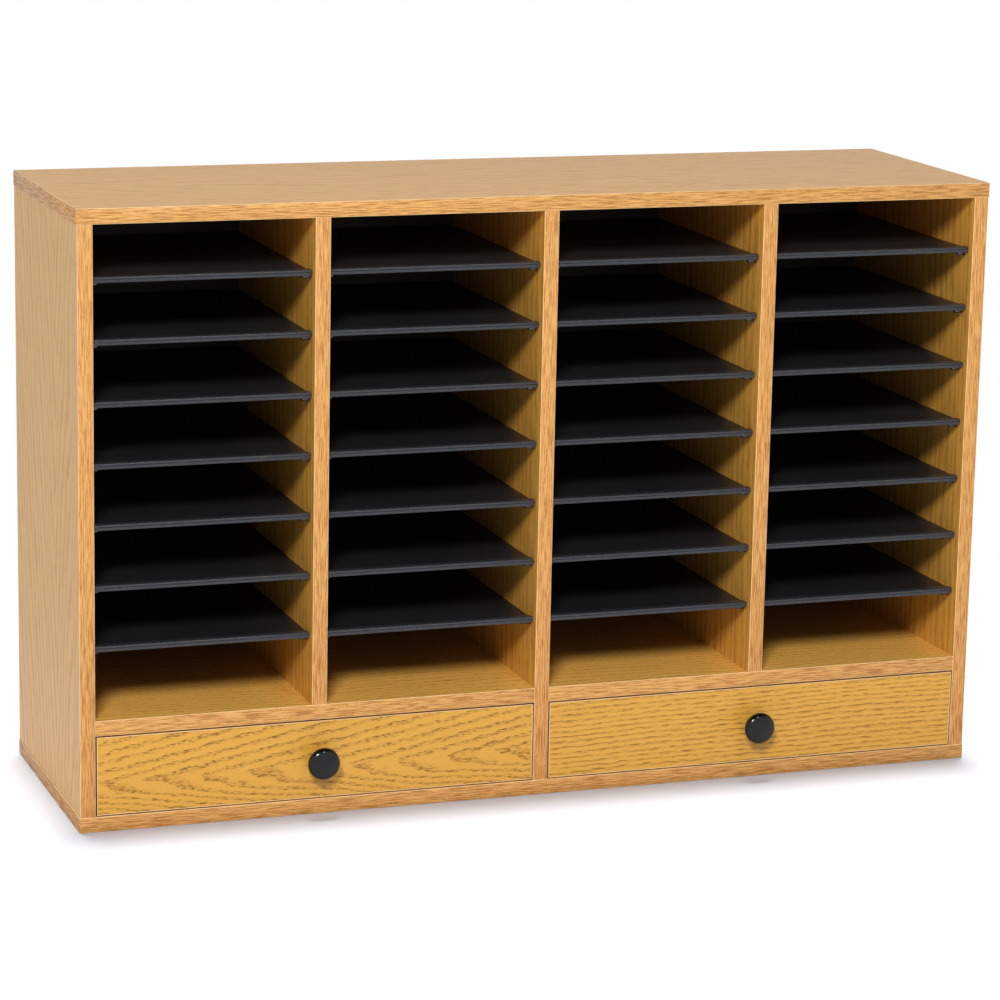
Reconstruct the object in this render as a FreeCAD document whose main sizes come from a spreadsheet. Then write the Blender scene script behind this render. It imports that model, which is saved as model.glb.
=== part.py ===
import FreeCAD, Part
import math
import os
import Sketcher

# Literature organizer of wood-grain laminate boards: four columns of loose hardboard shelves on pins,
# over two drawers. X runs to the right, Y to the back and Z up, in millimetres. The origin is the middle of
# the bottom panel's underside, which stands on the desk.

COLUMNS = 4
PIN_FLATS = 8
DOWEL_FLATS = 6
KNOB_FLATS = 36

SIZES = [
    ("overall_width", 997.0, "over the end bands of the top and bottom panels"),
    ("overall_depth", 298.5, "from the front bands to the rear edges of the boards"),
    ("overall_height", 641.4, "from the desk to the top panel's upper face"),
    ("board_thickness", 15.9, "every laminate board of the case and the drawer fronts"),
    ("band_thickness", 0.8, "strips that cover the boards' raw edges"),
    ("drawer_opening_height", 85.7, "clear height between the bottom panel and the decks"),
    ("back_thickness", 3.2, "hardboard sheet behind the compartments"),
    ("back_recess", 0.8, "how far the back sheet lies in from the boards' rear edges"),
    ("back_lap", 8.0, "how far the back sheet laps over the rebated boards"),
    ("back_clearance", 0.3, "gap round the back sheet in its rebate"),
    ("shelf_thickness", 3.2, "hardboard of the loose shelves"),
    ("shelf_pitch", 63.0, "height from one shelf to the next"),
    ("lowest_shelf_rise", 71.3, "from the deck's upper face to the lowest shelf's underside"),
    ("least_top_room", 50.0, "least height from the highest shelf to the top panel"),
    ("shelf_setback", 8.0, "from the front of the case to the front of the mouldings"),
    ("shelf_end_gap", 1.6, "between a shelf's ends and the walls of its column"),
    ("shelf_rear_gap", 2.0, "between a shelf's rear edge and the back sheet"),
    ("moulding_depth", 9.5, "front to rear of the moulding on a shelf's front edge"),
    ("moulding_wall", 1.4, "lips of the moulding over and under the hardboard"),
    ("moulding_nose", 3.6, "solid front of the moulding"),
    ("moulding_clearance", 0.1, "between the moulding's slot and the hardboard"),
    ("moulding_round", 1.6, "rounding of the moulding's upper front edge"),
    ("pin_diameter", 6.35, "shelf pin, across its flats"),
    ("pin_in_board", 7.4, "length of a pin inside its hole"),
    ("pin_out_of_board", 8.5, "length of a pin that carries the shelf"),
    ("pin_clearance", 0.1, "between a pin and the wall of its hole"),
    ("pin_moulding_gap", 0.5, "from the moulding's rear edge to the front pins"),
    ("pin_rear_margin", 40.0, "from the back sheet to the middle of the rear pins"),
    ("dowel_diameter", 8.0, "dowels of the case joints, across their flats"),
    ("dowel_in_face", 7.0, "length of a dowel in the face of a board"),
    ("dowel_in_end", 18.0, "length of a dowel in the end of a board"),
    ("dowel_clearance", 0.1, "between a dowel and the wall of its hole"),
    ("dowel_margin", 45.0, "from a board's front and rear edge to its dowels"),
    ("front_gap", 1.5, "gap all round an inset drawer front"),
    ("drawer_board", 12.7, "sides and back of a drawer box"),
    ("drawer_side_height", 70.0, "height of the drawer box"),
    ("drawer_side_gap", 2.0, "between the drawer box and the walls beside it"),
    ("drawer_rear_gap", 3.0, "between the drawer box and the back sheet"),
    ("drawer_bottom_thickness", 3.2, "hardboard bottom of a drawer"),
    ("drawer_bottom_rise", 8.0, "from the sides' lower edge to the drawer bottom's groove"),
    ("groove_depth", 5.0, "groove that holds the drawer bottom"),
    ("groove_clearance", 0.1, "over and under the drawer bottom in its groove"),
    ("groove_end_gap", 0.5, "between the drawer bottom's edge and the groove's end"),
    ("drawer_back_inset", 6.0, "from the sides' rear ends to the drawer back"),
    ("housing_depth", 5.0, "how far the drawer back is let into the sides"),
    ("housing_clearance", 0.1, "in front of and behind the drawer back in its housings"),
    ("drawer_dowel_diameter", 6.0, "dowels of the drawer box, across their flats"),
    ("drawer_dowel_in_face", 8.0, "length of such a dowel in the drawer front"),
    ("drawer_dowel_in_end", 16.0, "length of such a dowel in a side's end"),
    ("drawer_dowel_low", 22.0, "from the sides' lower edge to the lower dowels"),
    ("drawer_dowel_high", 54.0, "from the sides' lower edge to the upper dowels"),
    ("knob_diameter", 34.0, "widest part of the knob"),
    ("knob_projection", 25.0, "from the drawer front to the crown of the knob"),
    ("knob_foot_diameter", 17.0, "foot of the knob on the drawer front"),
    ("knob_foot_height", 1.5, "straight part of the foot"),
    ("knob_neck_diameter", 14.5, "thinnest part of the knob"),
    ("knob_neck_distance", 5.5, "from the drawer front to the thinnest part"),
    ("knob_flare_diameter", 18.4, "where the neck's hollow turns into the underside"),
    ("knob_flare_distance", 9.5, "from the drawer front to that turn"),
    ("knob_rim_distance", 17.5, "from the drawer front to the middle of the rim"),
    ("knob_rim_width", 2.6, "straight part of the rim"),
    ("knob_rim_slope", 2.6, "length of the slopes above and under the rim"),
    ("knob_rim_bevel", 1.7, "how far those slopes lead in from the rim"),
    ("knob_face_diameter", 20.0, "middle part of the domed face"),
    ("knob_face_drop", 1.2, "from the crown down to the middle part's edge"),
    ("knob_crown_diameter", 8.0, "level middle of the face"),
    ("knob_bore_depth", 12.0, "depth of the hole for the screw"),
    ("screw_diameter", 4.0, "shank of the knob's screw"),
    ("screw_in_knob", 10.0, "length of the screw inside the knob"),
    ("screw_head_diameter", 8.0, "head of the knob's screw"),
    ("screw_head_height", 2.6, "height of the screw's head"),
    ("screw_bore_clearance", 0.05, "between the screw and the hole in the knob"),
    ("screw_hole_clearance", 0.3, "between the screw and the hole in the drawer front"),
]

doc = FreeCAD.newDocument("literature_organizer")
sheet = doc.addObject("Spreadsheet::Sheet", "Sizes")
for row, (alias, value, meaning) in enumerate(SIZES, start=1):
    sheet.set(f"A{row}", alias)
    sheet.set(f"B{row}", str(value))
    sheet.setAlias(f"B{row}", alias)
    sheet.set(f"C{row}", meaning)
doc.recompute()


def number(expression):
    """The present value of an expression of sizes in the sheet."""
    return float(sheet.evalExpression(expression))


# Lengths that follow from the driving sizes, as expressions
BOARD = "Sizes.board_thickness"
BAND = "Sizes.band_thickness"
CORE_WIDTH = f"(Sizes.overall_width - 2 * {BAND})"
CORE_DEPTH = f"(Sizes.overall_depth - {BAND})"
REBATE = "(Sizes.back_thickness + Sizes.back_recess)"
INNER_DEPTH = f"({CORE_DEPTH} - {REBATE})"
WALL_HEIGHT = f"(Sizes.overall_height - 2 * {BOARD})"
COLUMN_WIDTH = f"(({CORE_WIDTH} - {COLUMNS + 1} * {BOARD}) / {COLUMNS})"
COLUMN_PITCH = f"({COLUMN_WIDTH} + {BOARD})"
BAY_WIDTH = f"(2 * {COLUMN_WIDTH} + {BOARD})"
WALL_SPAN = f"(2 * {COLUMN_PITCH})"
SHELF_LENGTH = f"({COLUMN_WIDTH} - 2 * Sizes.shelf_end_gap)"

# Places in the whole part, as expressions
FRONT_Y = "(-Sizes.overall_depth / 2)"
CORE_Y = f"({FRONT_Y} + {BAND})"
REAR_Y = "(Sizes.overall_depth / 2)"
BACK_SHEET_Y = f"({REAR_Y} - {REBATE})"
LEFT_X = f"(-{CORE_WIDTH} / 2)"
TOP_Z = f"(Sizes.overall_height - {BOARD})"
DECK_Z = f"({BOARD} + Sizes.drawer_opening_height)"
DECK_TOP_Z = f"({DECK_Z} + {BOARD})"
DIVIDER_HEIGHT = f"({TOP_Z} - {DECK_TOP_Z})"
RIGHT_SIDE_X = f"(-{LEFT_X} - {BOARD})"
LEFT_DIVIDER_X = f"(-{COLUMN_PITCH} - {BOARD} / 2)"
RIGHT_DIVIDER_X = f"({COLUMN_PITCH} - {BOARD} / 2)"
LEFT_BAY_X = f"(-{BAY_WIDTH} - {BOARD} / 2)"
RIGHT_BAY_X = f"({BOARD} / 2)"
KNOB_Z = f"({BOARD} + Sizes.drawer_opening_height / 2)"

# Pins: their middles, from the boards' front edges and from the desk
PIN_HOLE = "(Sizes.pin_diameter + 2 * Sizes.pin_clearance)"
FRONT_PIN_Y = (
    f"(Sizes.shelf_setback - {BAND} + Sizes.moulding_depth"
    " + Sizes.pin_moulding_gap + Sizes.pin_diameter / 2)"
)
REAR_PIN_Y = f"({INNER_DEPTH} - Sizes.pin_rear_margin)"
LOWEST_SHELF_Z = f"({DECK_TOP_Z} + Sizes.lowest_shelf_rise)"
LOWEST_PIN_Z = f"({LOWEST_SHELF_Z} - Sizes.pin_diameter / 2)"

# As many shelves as the height takes, all one pitch apart
SHELF_ROOM = f"({TOP_Z} - {LOWEST_SHELF_Z} - Sizes.least_top_room)"
SHELVES_PER_COLUMN = 1 + int(number(SHELF_ROOM) / number("Sizes.shelf_pitch"))
PIN_ROW_HEIGHT = f"({SHELVES_PER_COLUMN - 1} * Sizes.shelf_pitch)"

# Dowels of the case: their middles, from the boards' front edges
DOWEL_HOLE = "(Sizes.dowel_diameter + 2 * Sizes.dowel_clearance)"
DOWEL_LENGTH = "(Sizes.dowel_in_face + Sizes.dowel_in_end)"
FRONT_DOWEL_Y = "Sizes.dowel_margin"
REAR_DOWEL_Y = f"({INNER_DEPTH} - Sizes.dowel_margin)"

# Drawers, measured from the lower left corner of the drawer front
FRONT_WIDTH = f"({BAY_WIDTH} - 2 * Sizes.front_gap)"
FRONT_HEIGHT = "(Sizes.drawer_opening_height - 2 * Sizes.front_gap)"
BOX_WIDTH = f"({BAY_WIDTH} - 2 * Sizes.drawer_side_gap)"
BOX_INNER_WIDTH = f"({BOX_WIDTH} - 2 * Sizes.drawer_board)"
BOX_DEPTH = f"({BACK_SHEET_Y} - {FRONT_Y} - {BOARD} - Sizes.drawer_rear_gap)"
BOX_Y = f"({FRONT_Y} + {BOARD})"
GROOVE_HEIGHT = "(Sizes.drawer_bottom_thickness + 2 * Sizes.groove_clearance)"
GROOVE_TOP = f"(Sizes.drawer_bottom_rise + {GROOVE_HEIGHT})"
GROOVE_REACH = "(Sizes.groove_depth - Sizes.groove_end_gap)"
HOUSING = "(Sizes.drawer_board + 2 * Sizes.housing_clearance)"
DRAWER_DOWEL_HOLE = "(Sizes.drawer_dowel_diameter + 2 * Sizes.dowel_clearance)"
DRAWER_DOWEL_LENGTH = "(Sizes.drawer_dowel_in_face + Sizes.drawer_dowel_in_end)"

# Knob: radius and distance from the drawer front at each turn of its outline
RIM_RADIUS = "Sizes.knob_diameter / 2"
RIM_EDGE_RADIUS = f"{RIM_RADIUS} - Sizes.knob_rim_bevel"
RIM_REAR = "Sizes.knob_rim_distance - Sizes.knob_rim_width / 2"
RIM_FRONT = "Sizes.knob_rim_distance + Sizes.knob_rim_width / 2"
KNOB_OUTLINE = [
    ("Sizes.knob_foot_diameter / 2", "0"),
    ("Sizes.knob_foot_diameter / 2", "Sizes.knob_foot_height"),
    ("Sizes.knob_neck_diameter / 2", "Sizes.knob_neck_distance"),
    ("Sizes.knob_flare_diameter / 2", "Sizes.knob_flare_distance"),
    (RIM_EDGE_RADIUS, f"{RIM_REAR} - Sizes.knob_rim_slope"),
    (RIM_RADIUS, RIM_REAR),
    (RIM_RADIUS, RIM_FRONT),
    (RIM_EDGE_RADIUS, f"{RIM_FRONT} + Sizes.knob_rim_slope"),
    ("Sizes.knob_face_diameter / 2", "Sizes.knob_projection - Sizes.knob_face_drop"),
    ("Sizes.knob_crown_diameter / 2", "Sizes.knob_projection"),
]


def origin_feature(body, role):
    """A body's own origin plane or axis."""
    return next(feature for feature in body.Origin.OriginFeatures if feature.Role == role)


def place(item, x, y, z):
    """Bind an object's place to the sheet."""
    for axis, expression in zip("xyz", (x, y, z)):
        item.setExpression(f"Placement.Base.{axis}", expression)


def new_sketch(body, name, role, offset="0"):
    """A sketch on one of the body's origin planes, moved along the plane's normal."""
    sketch = body.newObject("Sketcher::SketchObject", f"{body.Name}_{name}")
    sketch.AttachmentSupport = (origin_feature(body, role), [""])
    sketch.MapMode = "FlatFace"
    sketch.setExpression("AttachmentOffset.Base.z", offset)
    return sketch


def bind(sketch, kind, references, expression):
    """A dimension in a sketch whose value comes from the sheet."""
    index = sketch.addConstraint(Sketcher.Constraint(kind, *references, number(expression)))
    sketch.setExpression(f"Constraints[{index}]", expression)


def pin_down(sketch, edge, end, u, v):
    """Fix one end of an edge at a place in its sketch."""
    bind(sketch, "DistanceX", (-1, 1, edge, end), u)
    bind(sketch, "DistanceY", (-1, 1, edge, end), v)


def closed_outline(sketch, edges):
    """Join edges end to start, round to the first."""
    for edge, following in zip(edges, edges[1:] + edges[:1]):
        sketch.addConstraint(Sketcher.Constraint("Coincident", edge, 2, following, 1))


def add_rectangle(sketch, u, v, width, height):
    """A rectangle with its lower left corner at (u, v)."""
    left, low = number(u), number(v)
    right, high = left + number(width), low + number(height)
    corners = [(left, low), (right, low), (right, high), (left, high)]
    edges = add_polyline(sketch, corners)
    for edge, direction in zip(edges, ("Horizontal", "Vertical", "Horizontal", "Vertical")):
        sketch.addConstraint(Sketcher.Constraint(direction, edge))
    pin_down(sketch, edges[0], 1, u, v)
    bind(sketch, "DistanceX", (edges[0], 1, edges[0], 2), width)
    bind(sketch, "DistanceY", (edges[1], 1, edges[1], 2), height)


def add_polyline(sketch, corners):
    """Straight edges round a list of corners, joined into a closed outline."""
    points = [FreeCAD.Vector(u, v, 0) for u, v in corners]
    edges = [
        sketch.addGeometry(Part.LineSegment(start, end))
        for start, end in zip(points, points[1:] + points[:1])
    ]
    closed_outline(sketch, edges)
    return edges


def add_polygon(sketch, u, v, across, flats):
    """A regular polygon round (u, v), with a flat above and below, as wide as given across its flats."""
    centre = FreeCAD.Vector(number(u), number(v), 0)
    half_turn = 180 / flats
    radius = f"{across} / 2 / cos({half_turn})"
    corners = []
    for step in range(flats):
        angle = -90 - half_turn + 2 * half_turn * step
        turn = FreeCAD.Rotation(FreeCAD.Vector(0, 0, 1), angle)
        corner = centre + turn.multVec(FreeCAD.Vector(number(radius), 0, 0))
        corners.append((corner.x, corner.y))
    edges = add_polyline(sketch, corners)
    rim = sketch.addGeometry(Part.Circle(centre, FreeCAD.Vector(0, 0, 1), number(radius)), True)
    for edge in edges:
        sketch.addConstraint(Sketcher.Constraint("PointOnObject", edge, 1, rim))
    for edge in edges[1:]:
        sketch.addConstraint(Sketcher.Constraint("Equal", edges[0], edge))
    sketch.addConstraint(Sketcher.Constraint("Horizontal", edges[0]))
    pin_down(sketch, rim, 3, u, v)
    bind(sketch, "Radius", (rim,), radius)


def add_profile(sketch, corners):
    """Straight edges round corners that are all bound to the sheet."""
    edges = add_polyline(sketch, [(number(u), number(v)) for u, v in corners])
    for edge, (u, v) in zip(edges, corners):
        pin_down(sketch, edge, 1, u, v)


def add_circle(sketch, u, v, radius):
    """A circle round (u, v)."""
    centre = FreeCAD.Vector(number(u), number(v), 0)
    circle = sketch.addGeometry(Part.Circle(centre, FreeCAD.Vector(0, 0, 1), number(radius)))
    pin_down(sketch, circle, 3, u, v)
    bind(sketch, "Radius", (circle,), radius)


def pad(body, sketch, length, backwards=False):
    """Extrude a sketch along its normal, or against it."""
    feature = body.newObject("PartDesign::Pad", f"{sketch.Name}_pad")
    feature.Profile = sketch
    feature.setExpression("Length", length)
    feature.Reversed = backwards
    doc.recompute()
    return feature


def cut(body, sketch, depth, along_normal):
    """Cut a sketch's outlines out of the body, and see that material went."""
    before = body.Shape.Volume
    feature = body.newObject("PartDesign::Pocket", f"{sketch.Name}_cut")
    feature.Profile = sketch
    feature.setExpression("Length", depth)
    feature.Reversed = along_normal
    doc.recompute()
    if not body.Shape.Volume < before - 1:
        raise ValueError(f"{feature.Name} cuts nothing")
    return feature


def repeat(body, feature, role, extent, count):
    """Copies of a feature in a row along one of the body's axes, the last one at the extent."""
    row = body.newObject("PartDesign::LinearPattern", f"{feature.Name}_row")
    row.Originals = [feature]
    row.Direction = (origin_feature(body, role), [""])
    row.setExpression("Length", extent)
    row.Occurrences = count
    body.Tip = row
    doc.recompute()
    return row


def new_body(name, x="0", y="0", z="0"):
    """An empty body with its name and its place."""
    body = doc.addObject("PartDesign::Body", name)
    body.Label = name
    place(body, x, y, z)
    return body


def new_box(name, corner, spans):
    """A plain strip or sheet, placed by its lower left front corner."""
    box = doc.addObject("Part::Box", name)
    box.Label = name
    for side, span in zip(("Length", "Width", "Height"), spans):
        box.setExpression(side, span)
    place(box, *corner)
    return box


def new_group(name, members):
    """Separate solids of one kind under one name."""
    group = doc.addObject("Part::Compound", name)
    group.Label = name
    group.Links = members
    return group


class Board:
    """A sawn board: a rectangle padded to its height, then rebated, grooved and drilled from its faces."""

    def __init__(self, name, corner, spans):
        self.spans = spans
        self.body = new_body(name, *corner)
        outline = new_sketch(self.body, "outline", "XY_Plane")
        add_rectangle(outline, "0", "0", spans[0], spans[1])
        pad(self.body, outline, spans[2])

    def sketch_on(self, face, name):
        """A sketch on a named face, and whether a cut into the board runs along the sketch's normal."""
        width, depth, height = self.spans
        role, offset, inwards = {
            "left": ("YZ_Plane", "0", True),
            "right": ("YZ_Plane", width, False),
            "lower": ("XY_Plane", "0", True),
            "upper": ("XY_Plane", height, False),
            "front": ("XZ_Plane", "0", False),
            "rear": ("XZ_Plane", f"-{depth}", True),
        }[face]
        return new_sketch(self.body, f"{name}_{face}", role, offset), inwards

    def groove(self, name, face, corner, size, depth):
        """A groove or rebate of rectangular section, cut from one face."""
        sketch, inwards = self.sketch_on(face, name)
        add_rectangle(sketch, *corner, *size)
        return cut(self.body, sketch, depth, inwards)

    def holes(self, name, face, places, across, depth, flats=DOWEL_FLATS):
        """Blind holes for pins or dowels, cut from one face."""
        sketch, inwards = self.sketch_on(face, name)
        for u, v in places:
            add_polygon(sketch, u, v, across, flats)
        return cut(self.body, sketch, depth, inwards)

    def pin_holes(self, face, base_z):
        """Two upright rows of holes for the shelf pins, near the front and near the back."""
        height = f"({LOWEST_PIN_Z} - {base_z})"
        places = [(FRONT_PIN_Y, height), (REAR_PIN_Y, height)]
        lowest = self.holes("pin_holes", face, places, PIN_HOLE, "Sizes.pin_in_board", PIN_FLATS)
        repeat(self.body, lowest, "Z_Axis", PIN_ROW_HEIGHT, SHELVES_PER_COLUMN)

    def end_dowels(self, face, middle):
        """Two holes for dowels along a board's end, in the middle of its thickness."""
        places = [(middle, FRONT_DOWEL_Y), (middle, REAR_DOWEL_Y)]
        return self.holes("dowel_holes", face, places, DOWEL_HOLE, "Sizes.dowel_in_end")

    def side_dowels(self, name, face, height, depth):
        """Two level holes for dowels, at one height in a board's left or right side."""
        places = [(FRONT_DOWEL_Y, height), (REAR_DOWEL_Y, height)]
        return self.holes(name, face, places, DOWEL_HOLE, depth)


def wide_panel(name, base_z, inner_face, dowel_pitch, dowel_rows):
    """Top or bottom panel: it covers the ends of the walls, and its rebate stops short of its own ends."""
    panel = Board(name, (LEFT_X, CORE_Y, base_z), (CORE_WIDTH, CORE_DEPTH, BOARD))
    stop = f"({BOARD} - Sizes.back_lap)"
    corner = (stop, INNER_DEPTH)
    size = (f"({CORE_WIDTH} - 2 * {stop})", REBATE)
    panel.groove("rebate", inner_face, corner, size, "Sizes.back_lap")
    first = f"({BOARD} / 2)"
    places = [(first, FRONT_DOWEL_Y), (first, REAR_DOWEL_Y)]
    holes = panel.holes("dowel_holes", inner_face, places, DOWEL_HOLE, "Sizes.dowel_in_face")
    repeat(panel.body, holes, "X_Axis", f"{dowel_rows - 1} * {dowel_pitch}", dowel_rows)
    return panel.body


def side_panel(name, x, inner_face):
    """Outer wall, rebated at its inner rear edge and drilled for pins, dowels and the deck."""
    side = Board(name, (x, CORE_Y, BOARD), (BOARD, CORE_DEPTH, WALL_HEIGHT))
    rebate_depth = "Sizes.back_lap"
    side.groove("rebate", inner_face, (INNER_DEPTH, "0"), (REBATE, WALL_HEIGHT), rebate_depth)
    side.pin_holes(inner_face, BOARD)
    deck_middle = f"({DECK_Z} + {BOARD} / 2 - {BOARD})"
    side.side_dowels("deck_dowels", inner_face, deck_middle, "Sizes.dowel_in_face")
    for end in ("lower", "upper"):
        side.end_dowels(end, f"{BOARD} / 2")
    return side.body


def center_partition():
    """Middle wall, from the bottom panel to the top panel, with shelves and decks on both sides."""
    wall = Board("center_partition", (f"-{BOARD} / 2", CORE_Y, BOARD), (BOARD, INNER_DEPTH, WALL_HEIGHT))
    deck_middle = f"({DECK_Z} + {BOARD} / 2 - {BOARD})"
    for face in ("left", "right"):
        wall.pin_holes(face, BOARD)
        wall.side_dowels("deck_dowels", face, deck_middle, "Sizes.dowel_in_face")
    for end in ("lower", "upper"):
        wall.end_dowels(end, f"{BOARD} / 2")
    return wall.body


def column_divider(name, x):
    """Wall between two columns, from a drawer deck to the top panel."""
    divider = Board(name, (x, CORE_Y, DECK_TOP_Z), (BOARD, INNER_DEPTH, DIVIDER_HEIGHT))
    for face in ("left", "right"):
        divider.pin_holes(face, DECK_TOP_Z)
    for end in ("lower", "upper"):
        divider.end_dowels(end, f"{BOARD} / 2")
    return divider.body


def drawer_deck(name, x):
    """Level board over a drawer, held at both ends, which carries a column divider in its middle."""
    deck = Board(name, (x, CORE_Y, DECK_Z), (BAY_WIDTH, INNER_DEPTH, BOARD))
    for end in ("left", "right"):
        deck.side_dowels("end_dowels", end, f"{BOARD} / 2", "Sizes.dowel_in_end")
    places = [(f"{BAY_WIDTH} / 2", FRONT_DOWEL_Y), (f"{BAY_WIDTH} / 2", REAR_DOWEL_Y)]
    deck.holes("divider_dowels", "upper", places, DOWEL_HOLE, "Sizes.dowel_in_face")
    return deck.body


def back_panel():
    """Hardboard sheet in the rebates of the four outer boards."""
    reach = "(Sizes.back_lap - Sizes.back_clearance)"
    corner = (f"{LEFT_X} + {BOARD} - {reach}", BACK_SHEET_Y, f"{BOARD} - {reach}")
    width = f"{CORE_WIDTH} - 2 * {BOARD} + 2 * {reach}"
    return new_box("back_panel", corner, (width, "Sizes.back_thickness", f"{WALL_HEIGHT} + 2 * {reach}"))


def front_band(name, x, z, width, height):
    """Strip on the front edge of one board."""
    return new_box(f"{name}_front_band", (x, FRONT_Y, z), (width, BAND, height))


def end_band(name, x, z):
    """Strip on one end of the top or bottom panel."""
    return new_box(f"{name}_end_band", (x, CORE_Y, z), (BAND, CORE_DEPTH, BOARD))


def level_edge_bands():
    """Strips on the front edges of the level boards, and on the ends of the top and bottom panels."""
    left = "(-Sizes.overall_width / 2)"
    strips = []
    for name, z in (("top", TOP_Z), ("bottom", "0")):
        strips.append(front_band(name, left, z, "Sizes.overall_width", BOARD))
        strips.append(end_band(f"{name}_left", left, z))
        strips.append(end_band(f"{name}_right", f"-{LEFT_X}", z))
    for name, x in (("left_deck", LEFT_BAY_X), ("right_deck", RIGHT_BAY_X)):
        strips.append(front_band(name, x, DECK_Z, BAY_WIDTH, BOARD))
    return new_group("level_edge_bands", strips)


def upright_edge_bands():
    """Strips on the front edges of the five walls."""
    strips = []
    for name, x in (("left_side", LEFT_X), ("center", f"-{BOARD} / 2"), ("right_side", RIGHT_SIDE_X)):
        strips.append(front_band(name, x, BOARD, BOARD, WALL_HEIGHT))
    for name, x in (("left_divider", LEFT_DIVIDER_X), ("right_divider", RIGHT_DIVIDER_X)):
        strips.append(front_band(name, x, DECK_TOP_Z, BOARD, DIVIDER_HEIGHT))
    return new_group("upright_edge_bands", strips)


def shelf_pins():
    """Steel pins in the walls of the columns, four under each shelf, with a flat on top."""
    body = new_body("shelf_pins", LEFT_X, CORE_Y, LOWEST_PIN_Z)
    length = "(Sizes.pin_in_board + Sizes.pin_out_of_board)"
    first_left = f"({BOARD} - Sizes.pin_in_board)"
    first_right = f"({COLUMN_PITCH} - Sizes.pin_out_of_board)"
    for name, start in (("left_wall", first_left), ("right_wall", first_right)):
        sketch = new_sketch(body, name, "YZ_Plane", start)
        for y in (FRONT_PIN_Y, REAR_PIN_Y):
            add_polygon(sketch, y, "0", "Sizes.pin_diameter", PIN_FLATS)
        pins = pad(body, sketch, length)
        rows = repeat(body, pins, "Z_Axis", PIN_ROW_HEIGHT, SHELVES_PER_COLUMN)
        rows.Direction2 = (origin_feature(body, "X_Axis"), [""])
        rows.setExpression("Length2", f"{COLUMNS - 1} * {COLUMN_PITCH}")
        rows.Occurrences2 = COLUMNS
    return body


def upright_dowels(body, name, x, z, pitch, count):
    """Pairs of standing dowels, repeated from wall to wall."""
    sketch = new_sketch(body, name, "XY_Plane", z)
    for y in (FRONT_DOWEL_Y, REAR_DOWEL_Y):
        add_polygon(sketch, x, y, "Sizes.dowel_diameter", DOWEL_FLATS)
    repeat(body, pad(body, sketch, DOWEL_LENGTH), "X_Axis", f"{count - 1} * {pitch}", count)


def level_dowels(body, name, x):
    """Pairs of level dowels at one end of each deck."""
    sketch = new_sketch(body, name, "YZ_Plane", x)
    for y in (FRONT_DOWEL_Y, REAR_DOWEL_Y):
        add_polygon(sketch, y, f"{DECK_Z} + {BOARD} / 2", "Sizes.dowel_diameter", DOWEL_FLATS)
    repeat(body, pad(body, sketch, DOWEL_LENGTH), "X_Axis", WALL_SPAN, 2)


def joint_dowels():
    """Wooden dowels that hold the case's boards together."""
    body = new_body("joint_dowels", LEFT_X, CORE_Y)
    wall_middle = f"{BOARD} / 2"
    upright_dowels(body, "top", wall_middle, f"{TOP_Z} - Sizes.dowel_in_end", COLUMN_PITCH, COLUMNS + 1)
    upright_dowels(body, "bottom", wall_middle, f"{BOARD} - Sizes.dowel_in_face", WALL_SPAN, 3)
    divider_middle = f"{BOARD} / 2 + {COLUMN_PITCH}"
    divider_z = f"{DECK_TOP_Z} - Sizes.dowel_in_face"
    upright_dowels(body, "divider", divider_middle, divider_z, WALL_SPAN, 2)
    level_dowels(body, "left_end", f"{BOARD} - Sizes.dowel_in_face")
    level_dowels(body, "right_end", f"{WALL_SPAN} - Sizes.dowel_in_end")
    return body


def shelf_moulding():
    """Moulding on a shelf's front edge: a channel with a solid nose, rounded along its upper edge."""
    body = new_body("shelf_moulding")
    sketch = new_sketch(body, "section", "YZ_Plane")
    low = "(-Sizes.moulding_wall - Sizes.moulding_clearance)"
    high = "(Sizes.shelf_thickness + Sizes.moulding_wall + Sizes.moulding_clearance)"
    slot_low = "(-Sizes.moulding_clearance)"
    slot_high = "(Sizes.shelf_thickness + Sizes.moulding_clearance)"
    depth = "Sizes.moulding_depth"
    nose = "Sizes.moulding_nose"
    corners = [("0", low), (depth, low), (depth, slot_low), (nose, slot_low)]
    corners += [(nose, slot_high), (depth, slot_high), (depth, high), ("0", high)]
    add_profile(sketch, corners)
    bar = pad(body, sketch, SHELF_LENGTH)
    rounded = body.newObject("PartDesign::Fillet", "moulding_upper_edge")
    rounded.Base = (bar, [front_edge(bar.Shape, number(high))])
    rounded.setExpression("Radius", "Sizes.moulding_round")
    doc.recompute()
    return body


def front_edge(shape, height):
    """The name of the long front edge that lies at one height."""
    for index, edge in enumerate(shape.Edges, start=1):
        middle = edge.BoundBox.Center
        if abs(middle.y) < 0.01 and abs(middle.z - height) < 0.01 and edge.BoundBox.YLength < 0.01:
            return f"Edge{index}"
    raise ValueError("the moulding has no such edge")


def shelf_sheet():
    """Hardboard of a shelf, pushed home in its moulding."""
    front = "(Sizes.moulding_nose + Sizes.moulding_clearance)"
    rear = f"({BACK_SHEET_Y} - {FRONT_Y} - Sizes.shelf_setback - Sizes.shelf_rear_gap)"
    spans = (SHELF_LENGTH, f"{rear} - {front}", "Sizes.shelf_thickness")
    return new_box("shelf_sheet", ("0", front, "0"), spans)


def shelves():
    """Loose shelves, each a hardboard sheet and its moulding, resting on four pins."""
    parts = [shelf_sheet(), shelf_moulding()]
    made = []
    for column in range(COLUMNS):
        x = f"{LEFT_X} + {BOARD} + {column} * {COLUMN_PITCH} + Sizes.shelf_end_gap"
        for level in range(SHELVES_PER_COLUMN):
            shelf = new_group(f"column_{column + 1}_shelf_{level + 1}", parts)
            height = f"{LOWEST_SHELF_Z} + {level} * Sizes.shelf_pitch"
            place(shelf, x, f"{FRONT_Y} + Sizes.shelf_setback", height)
            made.append(shelf)
    return made


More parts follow.
